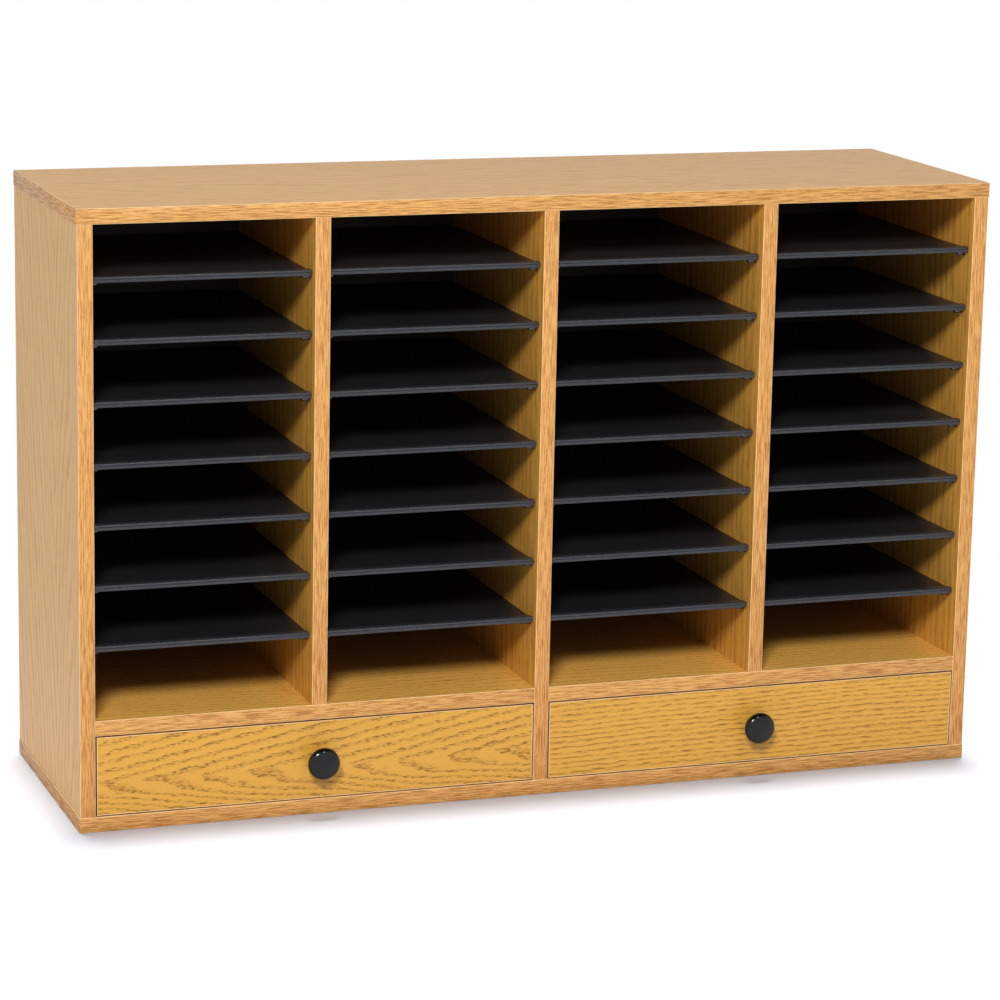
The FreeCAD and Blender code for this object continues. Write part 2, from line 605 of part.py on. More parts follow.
def drawer_front(name, x):
    """Board of a drawer front without its bands, bored for the knob's screw and grooved for the bottom."""
    corner = (f"{x} + Sizes.front_gap + {BAND}", FRONT_Y, f"{BOARD} + Sizes.front_gap + {BAND}")
    spans = (f"({FRONT_WIDTH} - 2 * {BAND})", BOARD, f"({FRONT_HEIGHT} - 2 * {BAND})")
    front = Board(f"{name}_drawer_front", corner, spans)
    floor = f"(-Sizes.front_gap - {BAND})"
    groove_width = f"({BOX_INNER_WIDTH} + 2 * Sizes.groove_depth)"
    start = f"(({spans[0]} - {groove_width}) / 2)"
    groove_corner = (start, f"({floor} + Sizes.drawer_bottom_rise)")
    groove_size = (groove_width, GROOVE_HEIGHT)
    front.groove("bottom_groove", "rear", groove_corner, groove_size, "Sizes.groove_depth")
    side_middle = f"({spans[0]} - {BOX_INNER_WIDTH} - Sizes.drawer_board) / 2"
    places = [
        (u, f"({floor} + Sizes.{level})")
        for u in (f"({side_middle})", f"({spans[0]} - {side_middle})")
        for level in ("drawer_dowel_low", "drawer_dowel_high")
    ]
    front.holes("dowel_holes", "rear", places, DRAWER_DOWEL_HOLE, "Sizes.drawer_dowel_in_face")
    sketch, inwards = front.sketch_on("front", "screw_hole")
    radius = "(Sizes.screw_diameter / 2 / cos(22.5) + Sizes.screw_hole_clearance)"
    add_circle(sketch, f"{spans[0]} / 2", f"{spans[2]} / 2", radius)
    cut(front.body, sketch, BOARD, inwards)
    return front.body


def drawer_front_bands(name, x):
    """Strips on the four edges of a drawer front."""
    left = f"{x} + Sizes.front_gap"
    right = f"{left} + {FRONT_WIDTH} - {BAND}"
    low = f"{BOARD} + Sizes.front_gap"
    high = f"{low} + {FRONT_HEIGHT} - {BAND}"
    upright = (BAND, BOARD, f"{FRONT_HEIGHT} - 2 * {BAND}")
    level = (FRONT_WIDTH, BOARD, BAND)
    label = f"{name}_drawer"
    strips = [
        new_box(f"{label}_left_band", (left, FRONT_Y, f"{low} + {BAND}"), upright),
        new_box(f"{label}_right_band", (right, FRONT_Y, f"{low} + {BAND}"), upright),
        new_box(f"{label}_lower_band", (left, FRONT_Y, low), level),
        new_box(f"{label}_upper_band", (left, FRONT_Y, high), level),
    ]
    return new_group(f"{label}_front_bands", strips)


def drawer_side(name, which, x, inner_face):
    """Side of a drawer box, which slides on the bottom panel: grooved for the bottom, housed for the back."""
    spans = ("Sizes.drawer_board", BOX_DEPTH, "Sizes.drawer_side_height")
    side = Board(f"{name}_drawer_{which}_side", (x, BOX_Y, BOARD), spans)
    side.groove(
        "bottom_groove",
        inner_face,
        ("0", "Sizes.drawer_bottom_rise"),
        (BOX_DEPTH, GROOVE_HEIGHT),
        "Sizes.groove_depth",
    )
    levels = ("Sizes.drawer_dowel_low", "Sizes.drawer_dowel_high")
    middle = "Sizes.drawer_board / 2"
    ends = [(middle, level) for level in levels]
    side.holes("front_dowels", "front", ends, DRAWER_DOWEL_HOLE, "Sizes.drawer_dowel_in_end")
    start = f"({BOX_DEPTH} - Sizes.drawer_board - Sizes.drawer_back_inset - Sizes.housing_clearance)"
    housing = (start, GROOVE_TOP)
    size = (HOUSING, f"(Sizes.drawer_side_height - {GROOVE_TOP})")
    side.groove("back_housing", inner_face, housing, size, "Sizes.housing_depth")
    return side.body


def drawer_back(name, x):
    """Back of a drawer box, let into the sides and standing on the drawer's bottom."""
    left = f"{x} + Sizes.drawer_side_gap + Sizes.drawer_board - Sizes.housing_depth"
    y = f"{BOX_Y} + {BOX_DEPTH} - Sizes.drawer_board - Sizes.drawer_back_inset"
    spans = (
        f"{BOX_INNER_WIDTH} + 2 * Sizes.housing_depth",
        "Sizes.drawer_board",
        f"Sizes.drawer_side_height - {GROOVE_TOP}",
    )
    return new_box(f"{name}_drawer_back", (left, y, f"{BOARD} + {GROOVE_TOP}"), spans)


def drawer_bottom(name, x):
    """Hardboard bottom of a drawer, in the grooves of its front and sides."""
    left = f"{x} + Sizes.drawer_side_gap + Sizes.drawer_board - {GROOVE_REACH}"
    height = f"{BOARD} + Sizes.drawer_bottom_rise + Sizes.groove_clearance"
    spans = (
        f"{BOX_INNER_WIDTH} + 2 * {GROOVE_REACH}",
        f"{BOX_DEPTH} + {GROOVE_REACH}",
        "Sizes.drawer_bottom_thickness",
    )
    return new_box(f"{name}_drawer_bottom", (left, f"{BOX_Y} - {GROOVE_REACH}", height), spans)


def drawer_dowels(name, x):
    """Dowels between a drawer's front and its sides, two at each corner."""
    body = new_body(f"{name}_drawer_dowels", f"{x} + Sizes.drawer_side_gap", BOX_Y, BOARD)
    sketch = new_sketch(body, "pair", "XZ_Plane", "Sizes.drawer_dowel_in_face")
    for level in ("Sizes.drawer_dowel_low", "Sizes.drawer_dowel_high"):
        add_polygon(sketch, "Sizes.drawer_board / 2", level, "Sizes.drawer_dowel_diameter", DOWEL_FLATS)
    pair = pad(body, sketch, DRAWER_DOWEL_LENGTH, backwards=True)
    repeat(body, pair, "X_Axis", f"{BOX_WIDTH} - Sizes.drawer_board", 2)
    return body


def flat_ring(across, distance, flats):
    """Corners of a regular polygon round the Y axis, back to the first, at a distance in front."""
    half_turn = math.pi / flats
    radius = across / 2 / math.cos(half_turn)
    angles = [half_turn * (2 * step - 1) - math.pi / 2 for step in range(flats + 1)]
    return [FreeCAD.Vector(radius * math.cos(a), -distance, radius * math.sin(a)) for a in angles]


def knob(name, x):
    """Turned knob, its round in many flats: foot, hollow neck, rim and domed face, bored for its screw."""
    rings = [flat_ring(2 * number(radius), number(distance), KNOB_FLATS) for radius, distance in KNOB_OUTLINE]
    faces = [Part.Face(Part.makePolygon(ring)) for ring in (rings[0], rings[-1])]
    for ring, following in zip(rings, rings[1:]):
        for step in range(KNOB_FLATS):
            corners = [ring[step], ring[step + 1], following[step + 1], following[step], ring[step]]
            faces.append(Part.Face(Part.makePolygon(corners)))
    turned = Part.Solid(Part.Shell(faces))
    bore_width = number("Sizes.screw_diameter + 2 * Sizes.screw_bore_clearance")
    mouth = Part.Face(Part.makePolygon(flat_ring(bore_width, 0, PIN_FLATS)))
    bore = mouth.extrude(FreeCAD.Vector(0, -number("Sizes.knob_bore_depth"), 0))
    piece = doc.addObject("Part::Feature", f"{name}_drawer_knob")
    piece.Label = piece.Name
    piece.Shape = turned.cut(bore)
    place(piece, x, FRONT_Y, KNOB_Z)
    return piece


def knob_screw(name, x):
    """Screw from inside the drawer, through its front and into the knob."""
    body = new_body(f"{name}_drawer_knob_screw", x, BOX_Y, KNOB_Z)
    shank = new_sketch(body, "shank", "XZ_Plane")
    add_polygon(shank, "0", "0", "Sizes.screw_diameter", PIN_FLATS)
    pad(body, shank, f"{BOARD} + Sizes.screw_in_knob")
    head = new_sketch(body, "head", "XZ_Plane")
    add_polygon(head, "0", "0", "Sizes.screw_head_diameter", PIN_FLATS)
    pad(body, head, "Sizes.screw_head_height", backwards=True)
    return body


def drawer(name, x):
    """Every piece of one drawer, from the left edge of its opening and the middle of its knob."""
    box_x = f"{x} + Sizes.drawer_side_gap"
    right_x = f"{box_x} + {BOX_WIDTH} - Sizes.drawer_board"
    middle = f"{x} + {BAY_WIDTH} / 2"
    return [
        drawer_front(name, x),
        drawer_front_bands(name, x),
        drawer_side(name, "left", box_x, "right"),
        drawer_side(name, "right", right_x, "left"),
        drawer_back(name, x),
        drawer_bottom(name, x),
        drawer_dowels(name, x),
        knob(name, middle),
        knob_screw(name, middle),
    ]


def case():
    """The fixed boards of the organizer, with their bands, dowels and pins."""
    return [
        wide_panel("top_panel", TOP_Z, "lower", COLUMN_PITCH, COLUMNS + 1),
        wide_panel("bottom_panel", "0", "upper", WALL_SPAN, 3),
        side_panel("left_side_panel", LEFT_X, "right"),
        side_panel("right_side_panel", RIGHT_SIDE_X, "left"),
        center_partition(),
        column_divider("left_column_divider", LEFT_DIVIDER_X),
        column_divider("right_column_divider", RIGHT_DIVIDER_X),
        drawer_deck("left_drawer_deck", LEFT_BAY_X),
        drawer_deck("right_drawer_deck", RIGHT_BAY_X),
        back_panel(),
        level_edge_bands(),
        upright_edge_bands(),
        joint_dowels(),
        shelf_pins(),
    ]


def check_and_write(nodes):
    """See that nothing failed, then write one file for each sub-part."""
    for item in doc.Objects:
        if "Invalid" in item.State or "Error" in item.State:
            raise ValueError(f"{item.Name} failed: {item.State}")
    os.makedirs("parts", exist_ok=True)
    for node in nodes:
        shape = node.Shape
        if shape.isNull() or not shape.isValid() or not shape.Solids:
            raise ValueError(f"{node.Label} has no valid solid")
        shape.exportStep(f"parts/{node.Label}.step")
        print(node.Label, len(shape.Solids), "solids,", round(shape.Volume / 1000, 1), "cm3")
    print(len(nodes), "nodes")


nodes = case() + shelves()
nodes += drawer("left", LEFT_BAY_X)
nodes += drawer("right", RIGHT_BAY_X)
doc.recompute()
check_and_write(nodes)
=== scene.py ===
# %% [markdown]
# # A literature organizer in golden oak laminate
# The organizer is a low case of laminated boards. Two drawers run under four columns of loose black shelves.
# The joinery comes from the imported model, so this lesson gives it its finishes and adds the small shapes that a
# viewer would miss: eased edge bands, rounded shelf mouldings, turned knobs and domed pins. Everything is in metres.

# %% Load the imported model
import math

import bmesh
import bpy
from mathutils import Matrix, Vector


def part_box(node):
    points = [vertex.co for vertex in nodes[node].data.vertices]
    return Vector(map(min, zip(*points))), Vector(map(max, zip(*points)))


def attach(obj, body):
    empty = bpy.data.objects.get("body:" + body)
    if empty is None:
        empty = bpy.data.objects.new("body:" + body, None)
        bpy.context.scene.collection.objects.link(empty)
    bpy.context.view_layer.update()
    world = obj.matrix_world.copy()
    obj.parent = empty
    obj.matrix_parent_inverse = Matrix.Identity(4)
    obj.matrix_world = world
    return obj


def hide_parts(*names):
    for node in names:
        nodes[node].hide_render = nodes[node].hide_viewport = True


MM = 0.001

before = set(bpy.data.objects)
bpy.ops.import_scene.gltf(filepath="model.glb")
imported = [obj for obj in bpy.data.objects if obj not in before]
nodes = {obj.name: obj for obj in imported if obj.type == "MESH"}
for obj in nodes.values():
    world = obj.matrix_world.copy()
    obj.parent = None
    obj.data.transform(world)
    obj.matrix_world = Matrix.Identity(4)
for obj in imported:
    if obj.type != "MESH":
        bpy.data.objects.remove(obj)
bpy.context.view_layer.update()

# %% [markdown]
# A product picture is taken with a long lens from a little above and to the left. The camera is turned by three
# plain angles: how far it looks to the right, how far it looks down, and a small tilt of the hand.

# %% Camera
CAMERA_PLACE = Vector((-1.272, -3.595, 1.143))
LOOK_RIGHT, LOOK_DOWN, TILT = (math.radians(angle) for angle in (19.51, 12.63, 1.12))
SENSOR_WIDTH = 36
LENS_TO_SENSOR = 3.60
FARTHEST_SEEN = 60


def camera_turn():
    """The camera's three axes as a rotation matrix."""
    level = math.cos(LOOK_DOWN)
    forward = Vector((math.sin(LOOK_RIGHT) * level, math.cos(LOOK_RIGHT) * level, -math.sin(LOOK_DOWN)))
    right = Vector((math.cos(LOOK_RIGHT), -math.sin(LOOK_RIGHT), 0))
    up = right.cross(forward)
    tilted_right = right * math.cos(TILT) + up * math.sin(TILT)
    tilted_up = up * math.cos(TILT) - right * math.sin(TILT)
    return Matrix((tilted_right, tilted_up, -forward)).transposed()


camera_data = bpy.data.cameras.new("photo_camera")
camera_data.sensor_fit = "HORIZONTAL"
camera_data.sensor_width = SENSOR_WIDTH
camera_data.lens = LENS_TO_SENSOR * SENSOR_WIDTH
camera_data.clip_end = FARTHEST_SEEN
camera = bpy.data.objects.new("photo_camera", camera_data)
camera.matrix_world = Matrix.Translation(CAMERA_PLACE) @ camera_turn().to_4x4()
bpy.context.scene.collection.objects.link(camera)
bpy.context.scene.camera = camera
bpy.context.scene.view_settings.view_transform = "Standard"
print("The lens is", round(camera_data.lens, 1), "mm long")

# %% [markdown]
# Materials are made of small node steps. One helper adds a node and fills its inputs: an input that is given a
# socket is linked to it, and any other value is written straight on the input.

# %% Helpers for node steps
SCREEN_LEVELS = 255


def step(tree, kind, inputs=None, **settings):
    """Adds one shader node and fills or links its inputs."""
    made = tree.nodes.new(kind)
    for name, value in settings.items():
        setattr(made, name, value)
    for name, value in (inputs or {}).items():
        if isinstance(value, bpy.types.NodeSocket):
            tree.links.new(value, made.inputs[name])
        else:
            made.inputs[name].default_value = value
    return made


def calc(tree, operation, first, second=0.0, third=0.0):
    """One sum on two or three numbers or sockets."""
    return step(tree, "ShaderNodeMath", {0: first, 1: second, 2: third}, operation=operation).outputs[0]


def fade(tree, value, start, end, low=0.0, high=1.0):
    """Turns a number into another range, smoothly and without overshoot."""
    ranges = {"Value": value, "From Min": start, "From Max": end, "To Min": low, "To Max": high}
    return step(tree, "ShaderNodeMapRange", ranges, interpolation_type="SMOOTHSTEP").outputs["Result"]


def within(tree, value):
    """Keeps a number between 0 and 1."""
    return calc(tree, "MINIMUM", calc(tree, "MAXIMUM", value, 0), 1)


def sway(tree, noise, weight, value):
    """Adds noise to a number, as much upwards as downwards."""
    return calc(tree, "MULTIPLY_ADD", calc(tree, "SUBTRACT", noise, 0.5), weight, value)


def blend(tree, amount, first, second):
    """Mixes two colours."""
    made = step(tree, "ShaderNodeMix", {"Factor": amount}, data_type="RGBA")
    for name, value in ((6, first), (7, second)):
        if isinstance(value, bpy.types.NodeSocket):
            tree.links.new(value, made.inputs[name])
        else:
            made.inputs[name].default_value = (*value, 1)
    return made.outputs[2]


def colour(red, green, blue):
    """A colour given as it looks on a screen, from 0 to 255, as the linear numbers that a shader needs."""
    parts = []
    for part in (red, green, blue):
        shown = part / SCREEN_LEVELS
        parts.append(shown / 12.92 if part <= 10 else ((shown + 0.055) / 1.055) ** 2.4)
    return tuple(parts)


print("Mid grey on a screen is", round(colour(128, 128, 128)[0], 3), "in a shader")

# %% [markdown]
# Patterns are noise, read at a place in the piece. Where the place is scaled more along one axis than along another,
# the noise is packed closer there, so that it looks drawn out the other way. That is how grain, pores and scratches
# are made.

# %% Helpers for patterns
PRINT_DEPTH = 0.2 * MM


def cloud(tree, place, scale, detail=2.0, roughness=0.5):
    """Soft noise between 0 and 1."""
    inputs = {"Vector": place, "Scale": scale, "Detail": detail, "Roughness": roughness}
    return step(tree, "ShaderNodeTexNoise", inputs).outputs["Fac"]


def spot(tree, x, y, z):
    """A point made of three numbers or sockets."""
    return step(tree, "ShaderNodeCombineXYZ", {"X": x, "Y": y, "Z": z}).outputs[0]


def grain_noise(tree, along, over, scales, seed, detail=2.0, roughness=0.5):
    """Noise drawn out along the grain. The scales are how many grains a metre holds, along and over the grain."""
    place = spot(tree, calc(tree, "MULTIPLY", along, scales[0]), calc(tree, "MULTIPLY", over, scales[1]), seed)
    return cloud(tree, place, 1, detail, roughness)


def axis_noise(tree, parts, scales, detail=2.0):
    """Noise with its own scale along each axis."""
    place = spot(tree, *(calc(tree, "MULTIPLY", parts.outputs[axis], scale) for axis, scale in zip("XYZ", scales)))
    return cloud(tree, place, 1, detail)


def new_finish(name):
    """An empty material with a shader, its object coordinates and its face direction."""
    material = bpy.data.materials.new(name)
    material.use_nodes = True
    tree = material.node_tree
    shader = tree.nodes["Principled BSDF"]
    place = step(tree, "ShaderNodeTexCoord").outputs["Object"]
    parts = step(tree, "ShaderNodeSeparateXYZ", {0: place})
    facing = step(tree, "ShaderNodeSeparateXYZ", {0: step(tree, "ShaderNodeNewGeometry").outputs["True Normal"]})
    return material, tree, shader, place, parts, facing


def raised(tree, shader, height, depth, strength=1.0):
    """Gives the surface a fine relief."""
    bump = step(tree, "ShaderNodeBump", {"Height": height, "Strength": strength, "Distance": depth})
    tree.links.new(bump.outputs["Normal"], shader.inputs["Normal"])


def sunk(tree, shader, mark, strength):
    """Presses the dark marks of a print a little into the surface."""
    raised(tree, shader, calc(tree, "MULTIPLY", mark, -1), PRINT_DEPTH, strength)


print("Printed grain is", round(PRINT_DEPTH / MM, 1), "mm deep at most")

# %% [markdown]
# Oak laminate is a print of sawn oak under a satin film. Flat-sawn oak shows nested arches, quarter-sawn oak shows
# nearly straight lines, and both are rows of short dark pores that always lie along the grain. Here the arches are
# the levels of one number, the ring count, which grows along the grain and falls away on both sides of a middle
# line. The pores are noise drawn out along the grain, shown only just after each new ring begins.
#
# A board's print is a set of numbers. `face` is where its main face lies and `middle` where its arches have their
# tips. `run` is rings per metre along the grain, and `rise`, `fall` and, past `turn`, `far_fall` are rings per metre
# away from the middle line. `drift`, `waver` and `bunch` bend the rings and crowd them. `band` is how much of a ring
# is dark, `dash` and `fine` are the pores' scales, `sparse` leaves some out, and `ring` and `stray` weigh those in
# rings and elsewhere. `tone` and `width` give slow light and dark streaks. A pattern's two scales are grains in a
# metre, along the grain and over it.

# %% Oak laminate
OAK_LIGHT = colour(231, 169, 73)
OAK_DARK = colour(152, 99, 28)
RAW_BOARD = colour(196, 158, 112)
RAW_CHIP = colour(140, 100, 62)
PLAIN_PRINT = dict(face=0, turn=0.01, drift=0.05, waver=0.5, bunch=0, band=0.34, dash=150, fine=640, sparse=0.44,
                   ring=0.72, stray=0.22, tone=0.25, width=40, light=OAK_LIGHT, dark=OAK_DARK)
DRIFT_GRAIN, WAVER_GRAIN, BUNCH_GRAIN, FIBRE_GRAIN = (5, 9), (70, 90), (2, 45), (22, 1400)
EDGE_SLANT = 0.6
DRIFT_IN_RINGS = 1.2
DARK_BY, DARK_UNTIL = 0.03, 0.16
FAINT_RING = 0.16
DASH_EDGE = 0.12
STRAY_FROM, STRAY_TO = 0.60, 0.68
FIBRE_WEIGHT = 0.34
OAK_GLOSS = (0.40, 0.58)


def ring_count(tree, along, over, shape):
    """The ring count of a sawn board, from its rings along the grain and its slopes beside the middle line."""
    seed = shape["seed"]
    drift = grain_noise(tree, along, over, DRIFT_GRAIN, seed, 1)
    waver = grain_noise(tree, along, over, WAVER_GRAIN, seed + 3)
    bunch = grain_noise(tree, along, over, BUNCH_GRAIN, seed + 7, 1)
    side = sway(tree, drift, shape["drift"], calc(tree, "SUBTRACT", over, shape["middle"]))
    above = calc(tree, "MAXIMUM", side, 0)
    below = calc(tree, "MAXIMUM", calc(tree, "MULTIPLY", side, -1), 0)
    near = calc(tree, "MINIMUM", below, shape["turn"])
    far = calc(tree, "MAXIMUM", calc(tree, "SUBTRACT", below, shape["turn"]), 0)
    rings = calc(tree, "MULTIPLY", along, shape["run"])
    for part, slope in ((above, shape["rise"]), (near, shape["fall"]), (far, shape["far_fall"])):
        rings = calc(tree, "MULTIPLY_ADD", part, -slope, rings)
    for noise, weight in ((waver, shape["waver"]), (bunch, shape["bunch"]), (drift, DRIFT_IN_RINGS)):
        rings = sway(tree, noise, weight, rings)
    return rings


def oak_mark(tree, along, over, shape):
    """How dark the print is at each place, before it is weakened."""
    seed = shape["seed"]
    phase = calc(tree, "FRACT", ring_count(tree, along, over, shape))
    early = calc(tree, "MULTIPLY", fade(tree, phase, 0, DARK_BY), fade(tree, phase, DARK_UNTIL, shape["band"], 1, 0))
    pores = grain_noise(tree, along, over, (shape["dash"], shape["fine"]), seed, 2, 0.6)
    dashes = fade(tree, pores, shape["sparse"], shape["sparse"] + DASH_EDGE)
    stray = calc(tree, "MULTIPLY", fade(tree, pores, STRAY_FROM, STRAY_TO), shape["stray"])
    fibre = grain_noise(tree, along, over, FIBRE_GRAIN, seed)
    streak = grain_noise(tree, along, over, (4, shape["width"]), seed, 1)
    mark = calc(tree, "MULTIPLY_ADD", early, calc(tree, "MULTIPLY_ADD", dashes, shape["ring"], FAINT_RING), stray)
    return sway(tree, streak, shape["tone"], sway(tree, fibre, FIBRE_WEIGHT, mark))


def chipboard(tree, place):
    """The colour of a board's raw edge."""
    chips = cloud(tree, place, 420, 3, 0.7)
    return blend(tree, fade(tree, chips, 0.42, 0.62), RAW_BOARD, RAW_CHIP)


def oak_laminate(name, grain, across, shape, strength=1.0, raw_rear=True):
    """Printed oak on a board, with its grain along one axis and raw particle board on its rear edge."""
    material, tree, shader, place, parts, facing = new_finish(name)
    shape = {**PLAIN_PRINT, **shape}
    third = parts.outputs[next(axis for axis in "XYZ" if axis not in (grain, across))]
    from_face = calc(tree, "SUBTRACT", third, shape["face"])
    over = calc(tree, "MULTIPLY_ADD", from_face, EDGE_SLANT, parts.outputs[across])
    mark = oak_mark(tree, parts.outputs[grain], over, shape)
    mark = within(tree, calc(tree, "MULTIPLY", mark, strength))
    oak = blend(tree, mark, shape["light"], shape["dark"])
    if raw_rear:
        rear = calc(tree, "GREATER_THAN", facing.outputs["Y"], 0.5)
        oak = blend(tree, rear, oak, chipboard(tree, place))
    tree.links.new(oak, shader.inputs["Base Color"])
    tree.links.new(fade(tree, mark, 0, 1, *OAK_GLOSS), shader.inputs["Roughness"])
    sunk(tree, shader, mark, 0.35)
    return material


print("The laminate's light oak is", [round(part, 3) for part in OAK_LIGHT])

# %% [markdown]
# Every board has its own sheet of print, so its arches or lines start at another place. Straight-grained boards
# have the same slope on both sides, and a middle line that lies beyond the board. The last number of each row says
# how strong the print is.

# %% Oak on the boards
WARM_DARK = colour(182, 112, 40)
DRAWER_PRINT = dict(light=colour(221, 162, 61), dark=colour(138, 92, 16), face=-0.149, drift=0.016, fine=760)


def even_slopes(slope):
    """Rings of one width on both sides of the middle line."""
    return dict(rise=slope, fall=slope, far_fall=slope)


ARCHES_LEFT_DRAWER = dict(DRAWER_PRINT, middle=0.052, run=18.5, rise=98, fall=40, far_fall=150, turn=0.015,
                          waver=0.7, seed=1.7, band=0.62, dash=170, sparse=0.47)
LINES_RIGHT_DRAWER = dict(DRAWER_PRINT, middle=-0.2, run=3, **even_slopes(172), waver=0.6, seed=6.1, band=0.7,
                          dash=80, sparse=0.45, bunch=0.9)
# The top's light oak is paler than the plain oak: painted light on the top face.
ARCHES_TOP_PAINTED_LIGHT = dict(face=0.64, middle=0.03, run=6, rise=70, fall=60, far_fall=60, seed=3.3, dash=45, bunch=1,
                  light=colour(240, 172, 72), dark=WARM_DARK)
ARCHES_LEFT_SIDE = dict(face=-0.498, middle=-0.045, run=10.5, **even_slopes(64), drift=0.03, waver=0.4, seed=9.2,
                        dash=50, fine=900, band=0.6, sparse=0.42, bunch=1.3, ring=0.62, stray=0.4,
                        light=colour(230, 171, 81), dark=WARM_DARK)
WALL_LINES = dict(middle=-0.4, run=1.5, **even_slopes(74), drift=0.035, waver=0.4, seed=12.5, band=0.7, dash=50,
                  fine=900, sparse=0.42, bunch=1.8, ring=0.5, stray=0.45, tone=0.7, width=130,
                  dark=colour(158, 98, 28))
# The decks' and bottom panel's light oak is paler than the walls': painted light on their upper faces.
DECK_LINES_PAINTED_LIGHT = dict(middle=0.4, run=3, **even_slopes(100), seed=20.4, light=colour(247, 186, 88))

board_finishes = {
    "top_panel": ("X", "Y", ARCHES_TOP_PAINTED_LIGHT, 0.55),
    "bottom_panel": ("X", "Y", dict(DECK_LINES_PAINTED_LIGHT, seed=31.0), 0.8),
    "left_side_panel": ("Z", "Y", ARCHES_LEFT_SIDE, 0.62),
    "right_side_panel": ("Z", "Y", WALL_LINES, 0.85),
    "center_partition": ("Z", "Y", dict(WALL_LINES, seed=14.2), 0.85),
    "left_column_divider": ("Z", "Y", dict(WALL_LINES, seed=15.9), 0.85),
    "right_column_divider": ("Z", "Y", dict(WALL_LINES, seed=17.3), 0.85),
    "left_drawer_deck": ("X", "Y", DECK_LINES_PAINTED_LIGHT, 0.7),
    "right_drawer_deck": ("X", "Y", dict(DECK_LINES_PAINTED_LIGHT, seed=23.0), 0.7),
    "left_drawer_front": ("X", "Z", ARCHES_LEFT_DRAWER, 1.0),
    "right_drawer_front": ("X", "Z", LINES_RIGHT_DRAWER, 0.85),
}


def wear(node, material):
    """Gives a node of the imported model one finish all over."""
    mesh = nodes[node].data
    mesh.materials.clear()
    mesh.materials.append(material)


for board, (grain, across, shape, strength) in board_finishes.items():
    wear(board, oak_laminate(f"oak_{board}", grain, across, shape, strength, raw_rear="front" not in board))
print(len(board_finishes), "boards wear oak")

# %% [markdown]
# The edge bands are thin strips of coloured plastic, printed with their own coarser oak: short red-brown dashes on
# a warm tan. A thin light line along each board's edge is a painted highlight in pale cream: on both narrow sides
# of a level strip, and on the rounded corners of an upright one. A drawer front's strips have their wide sides in
# the gap round the front, printed darker as painted shade for the gap; their edge facing the room has the painted
# highlight.

# %% Edge bands' finish
BAND_LIGHT = colour(230, 170, 95)
BAND_DARK = colour(170, 110, 42)
# A pale cream, painted on the strips' edges as a highlight.
BAND_HIGHLIGHT_CREAM = colour(255, 222, 166)
BEND_GRAIN, STREAK_GRAIN, PORE_GRAIN, TONE_GRAIN = (24, 50), (40, 1000), (200, 1600), (9, 60)
BEND_REACH = 2.2 * MM
TONE_WEIGHT = 0.4
BAND_GLOSS = (0.42, 0.6)
HIGHLIGHT_FROM, HIGHLIGHT_TO = 0.35, 0.97
DARKEST_BELOW, PLAIN_ABOVE = 0.02, 0.4


def band_oak(name, grain_axes, over_axis, seed, highlight_mask, light=BAND_LIGHT, dark=BAND_DARK, lower=0.0):
    """Printed oak on narrow strips, with a cream painted highlight where its mask says so. Low strips may be darker.
    """
    material, tree, shader, place, parts, facing = new_finish(name)
    along = parts.outputs[grain_axes[0]]
    for axis in grain_axes[1:]:
        along = calc(tree, "ADD", along, parts.outputs[axis])
    over = parts.outputs[over_axis]
    over = sway(tree, grain_noise(tree, along, over, BEND_GRAIN, seed, 1), BEND_REACH, over)
    streaks = fade(tree, grain_noise(tree, along, over, STREAK_GRAIN, seed, 2, 0.55), 0.44, 0.60)
    pores = fade(tree, grain_noise(tree, along, over, PORE_GRAIN, seed + 5, 2, 0.6), 0.3, 0.62, 0.5, 1)
    tones = grain_noise(tree, along, over, TONE_GRAIN, seed, 1)
    mark = sway(tree, tones, TONE_WEIGHT, calc(tree, "MULTIPLY", streaks, pores))
    lowness = fade(tree, parts.outputs["Z"], DARKEST_BELOW, PLAIN_ABOVE, lower, 0)
    mark = within(tree, calc(tree, "ADD", mark, lowness))
    oak = blend(tree, mark, light, dark)
    tree.links.new(blend(tree, highlight_mask(tree, facing), oak, BAND_HIGHLIGHT_CREAM), shader.inputs["Base Color"])
    tree.links.new(fade(tree, mark, 0, 1, *BAND_GLOSS), shader.inputs["Roughness"])
    sunk(tree, shader, mark, 0.4)
    return material


def narrow_sides(tree, facing):
    """The upper and lower side of a level strip, which take the painted highlight."""
    return calc(tree, "GREATER_THAN", calc(tree, "ABSOLUTE", facing.outputs["Z"]), HIGHLIGHT_FROM)


def highlighted_corners(tree, facing):
    """The rounded corners of an upright strip, without its sides, which take the painted highlight."""
    sideways = calc(tree, "ABSOLUTE", facing.outputs["X"])
    past_face = calc(tree, "GREATER_THAN", sideways, HIGHLIGHT_FROM)
    return calc(tree, "MULTIPLY", past_face, calc(tree, "LESS_THAN", sideways, HIGHLIGHT_TO))


def room_side(tree, facing):
    """The edge of a drawer front's strip that faces the room, which takes the painted highlight."""
    return fade(tree, facing.outputs["Y"], -0.5, -0.4, 1, 0)


level_band = band_oak("band_level", "XY", "Z", 2.0, narrow_sides, lower=0.12)
upright_band = band_oak("band_upright", "Z", "X", 8.0, highlighted_corners, dark=colour(180, 110, 40), lower=0.16)
# The drawer strips' print is darker than the other strips': painted shade for the gap round each front.
drawer_band_gap_shade = band_oak("band_drawer_gap_shade", "XZ", "Y", 11.0, room_side, colour(176, 126, 72), colour(120, 76, 36))
print("The bands have three finishes: level, upright and on the drawer fronts")

# %% [markdown]
# A strip starts as a unit cube that is scaled and moved to its place, then bevelled. Real bands are scraped with a
# small rounding, and that rounding is what catches the light along an edge. Round pieces start as a line of corners
# that is spun round an axis.

# %% Helpers for new pieces
TURN = 2 * math.pi
SAME_PLACE, SAME_HEIGHT = 1e-6, 1e-7


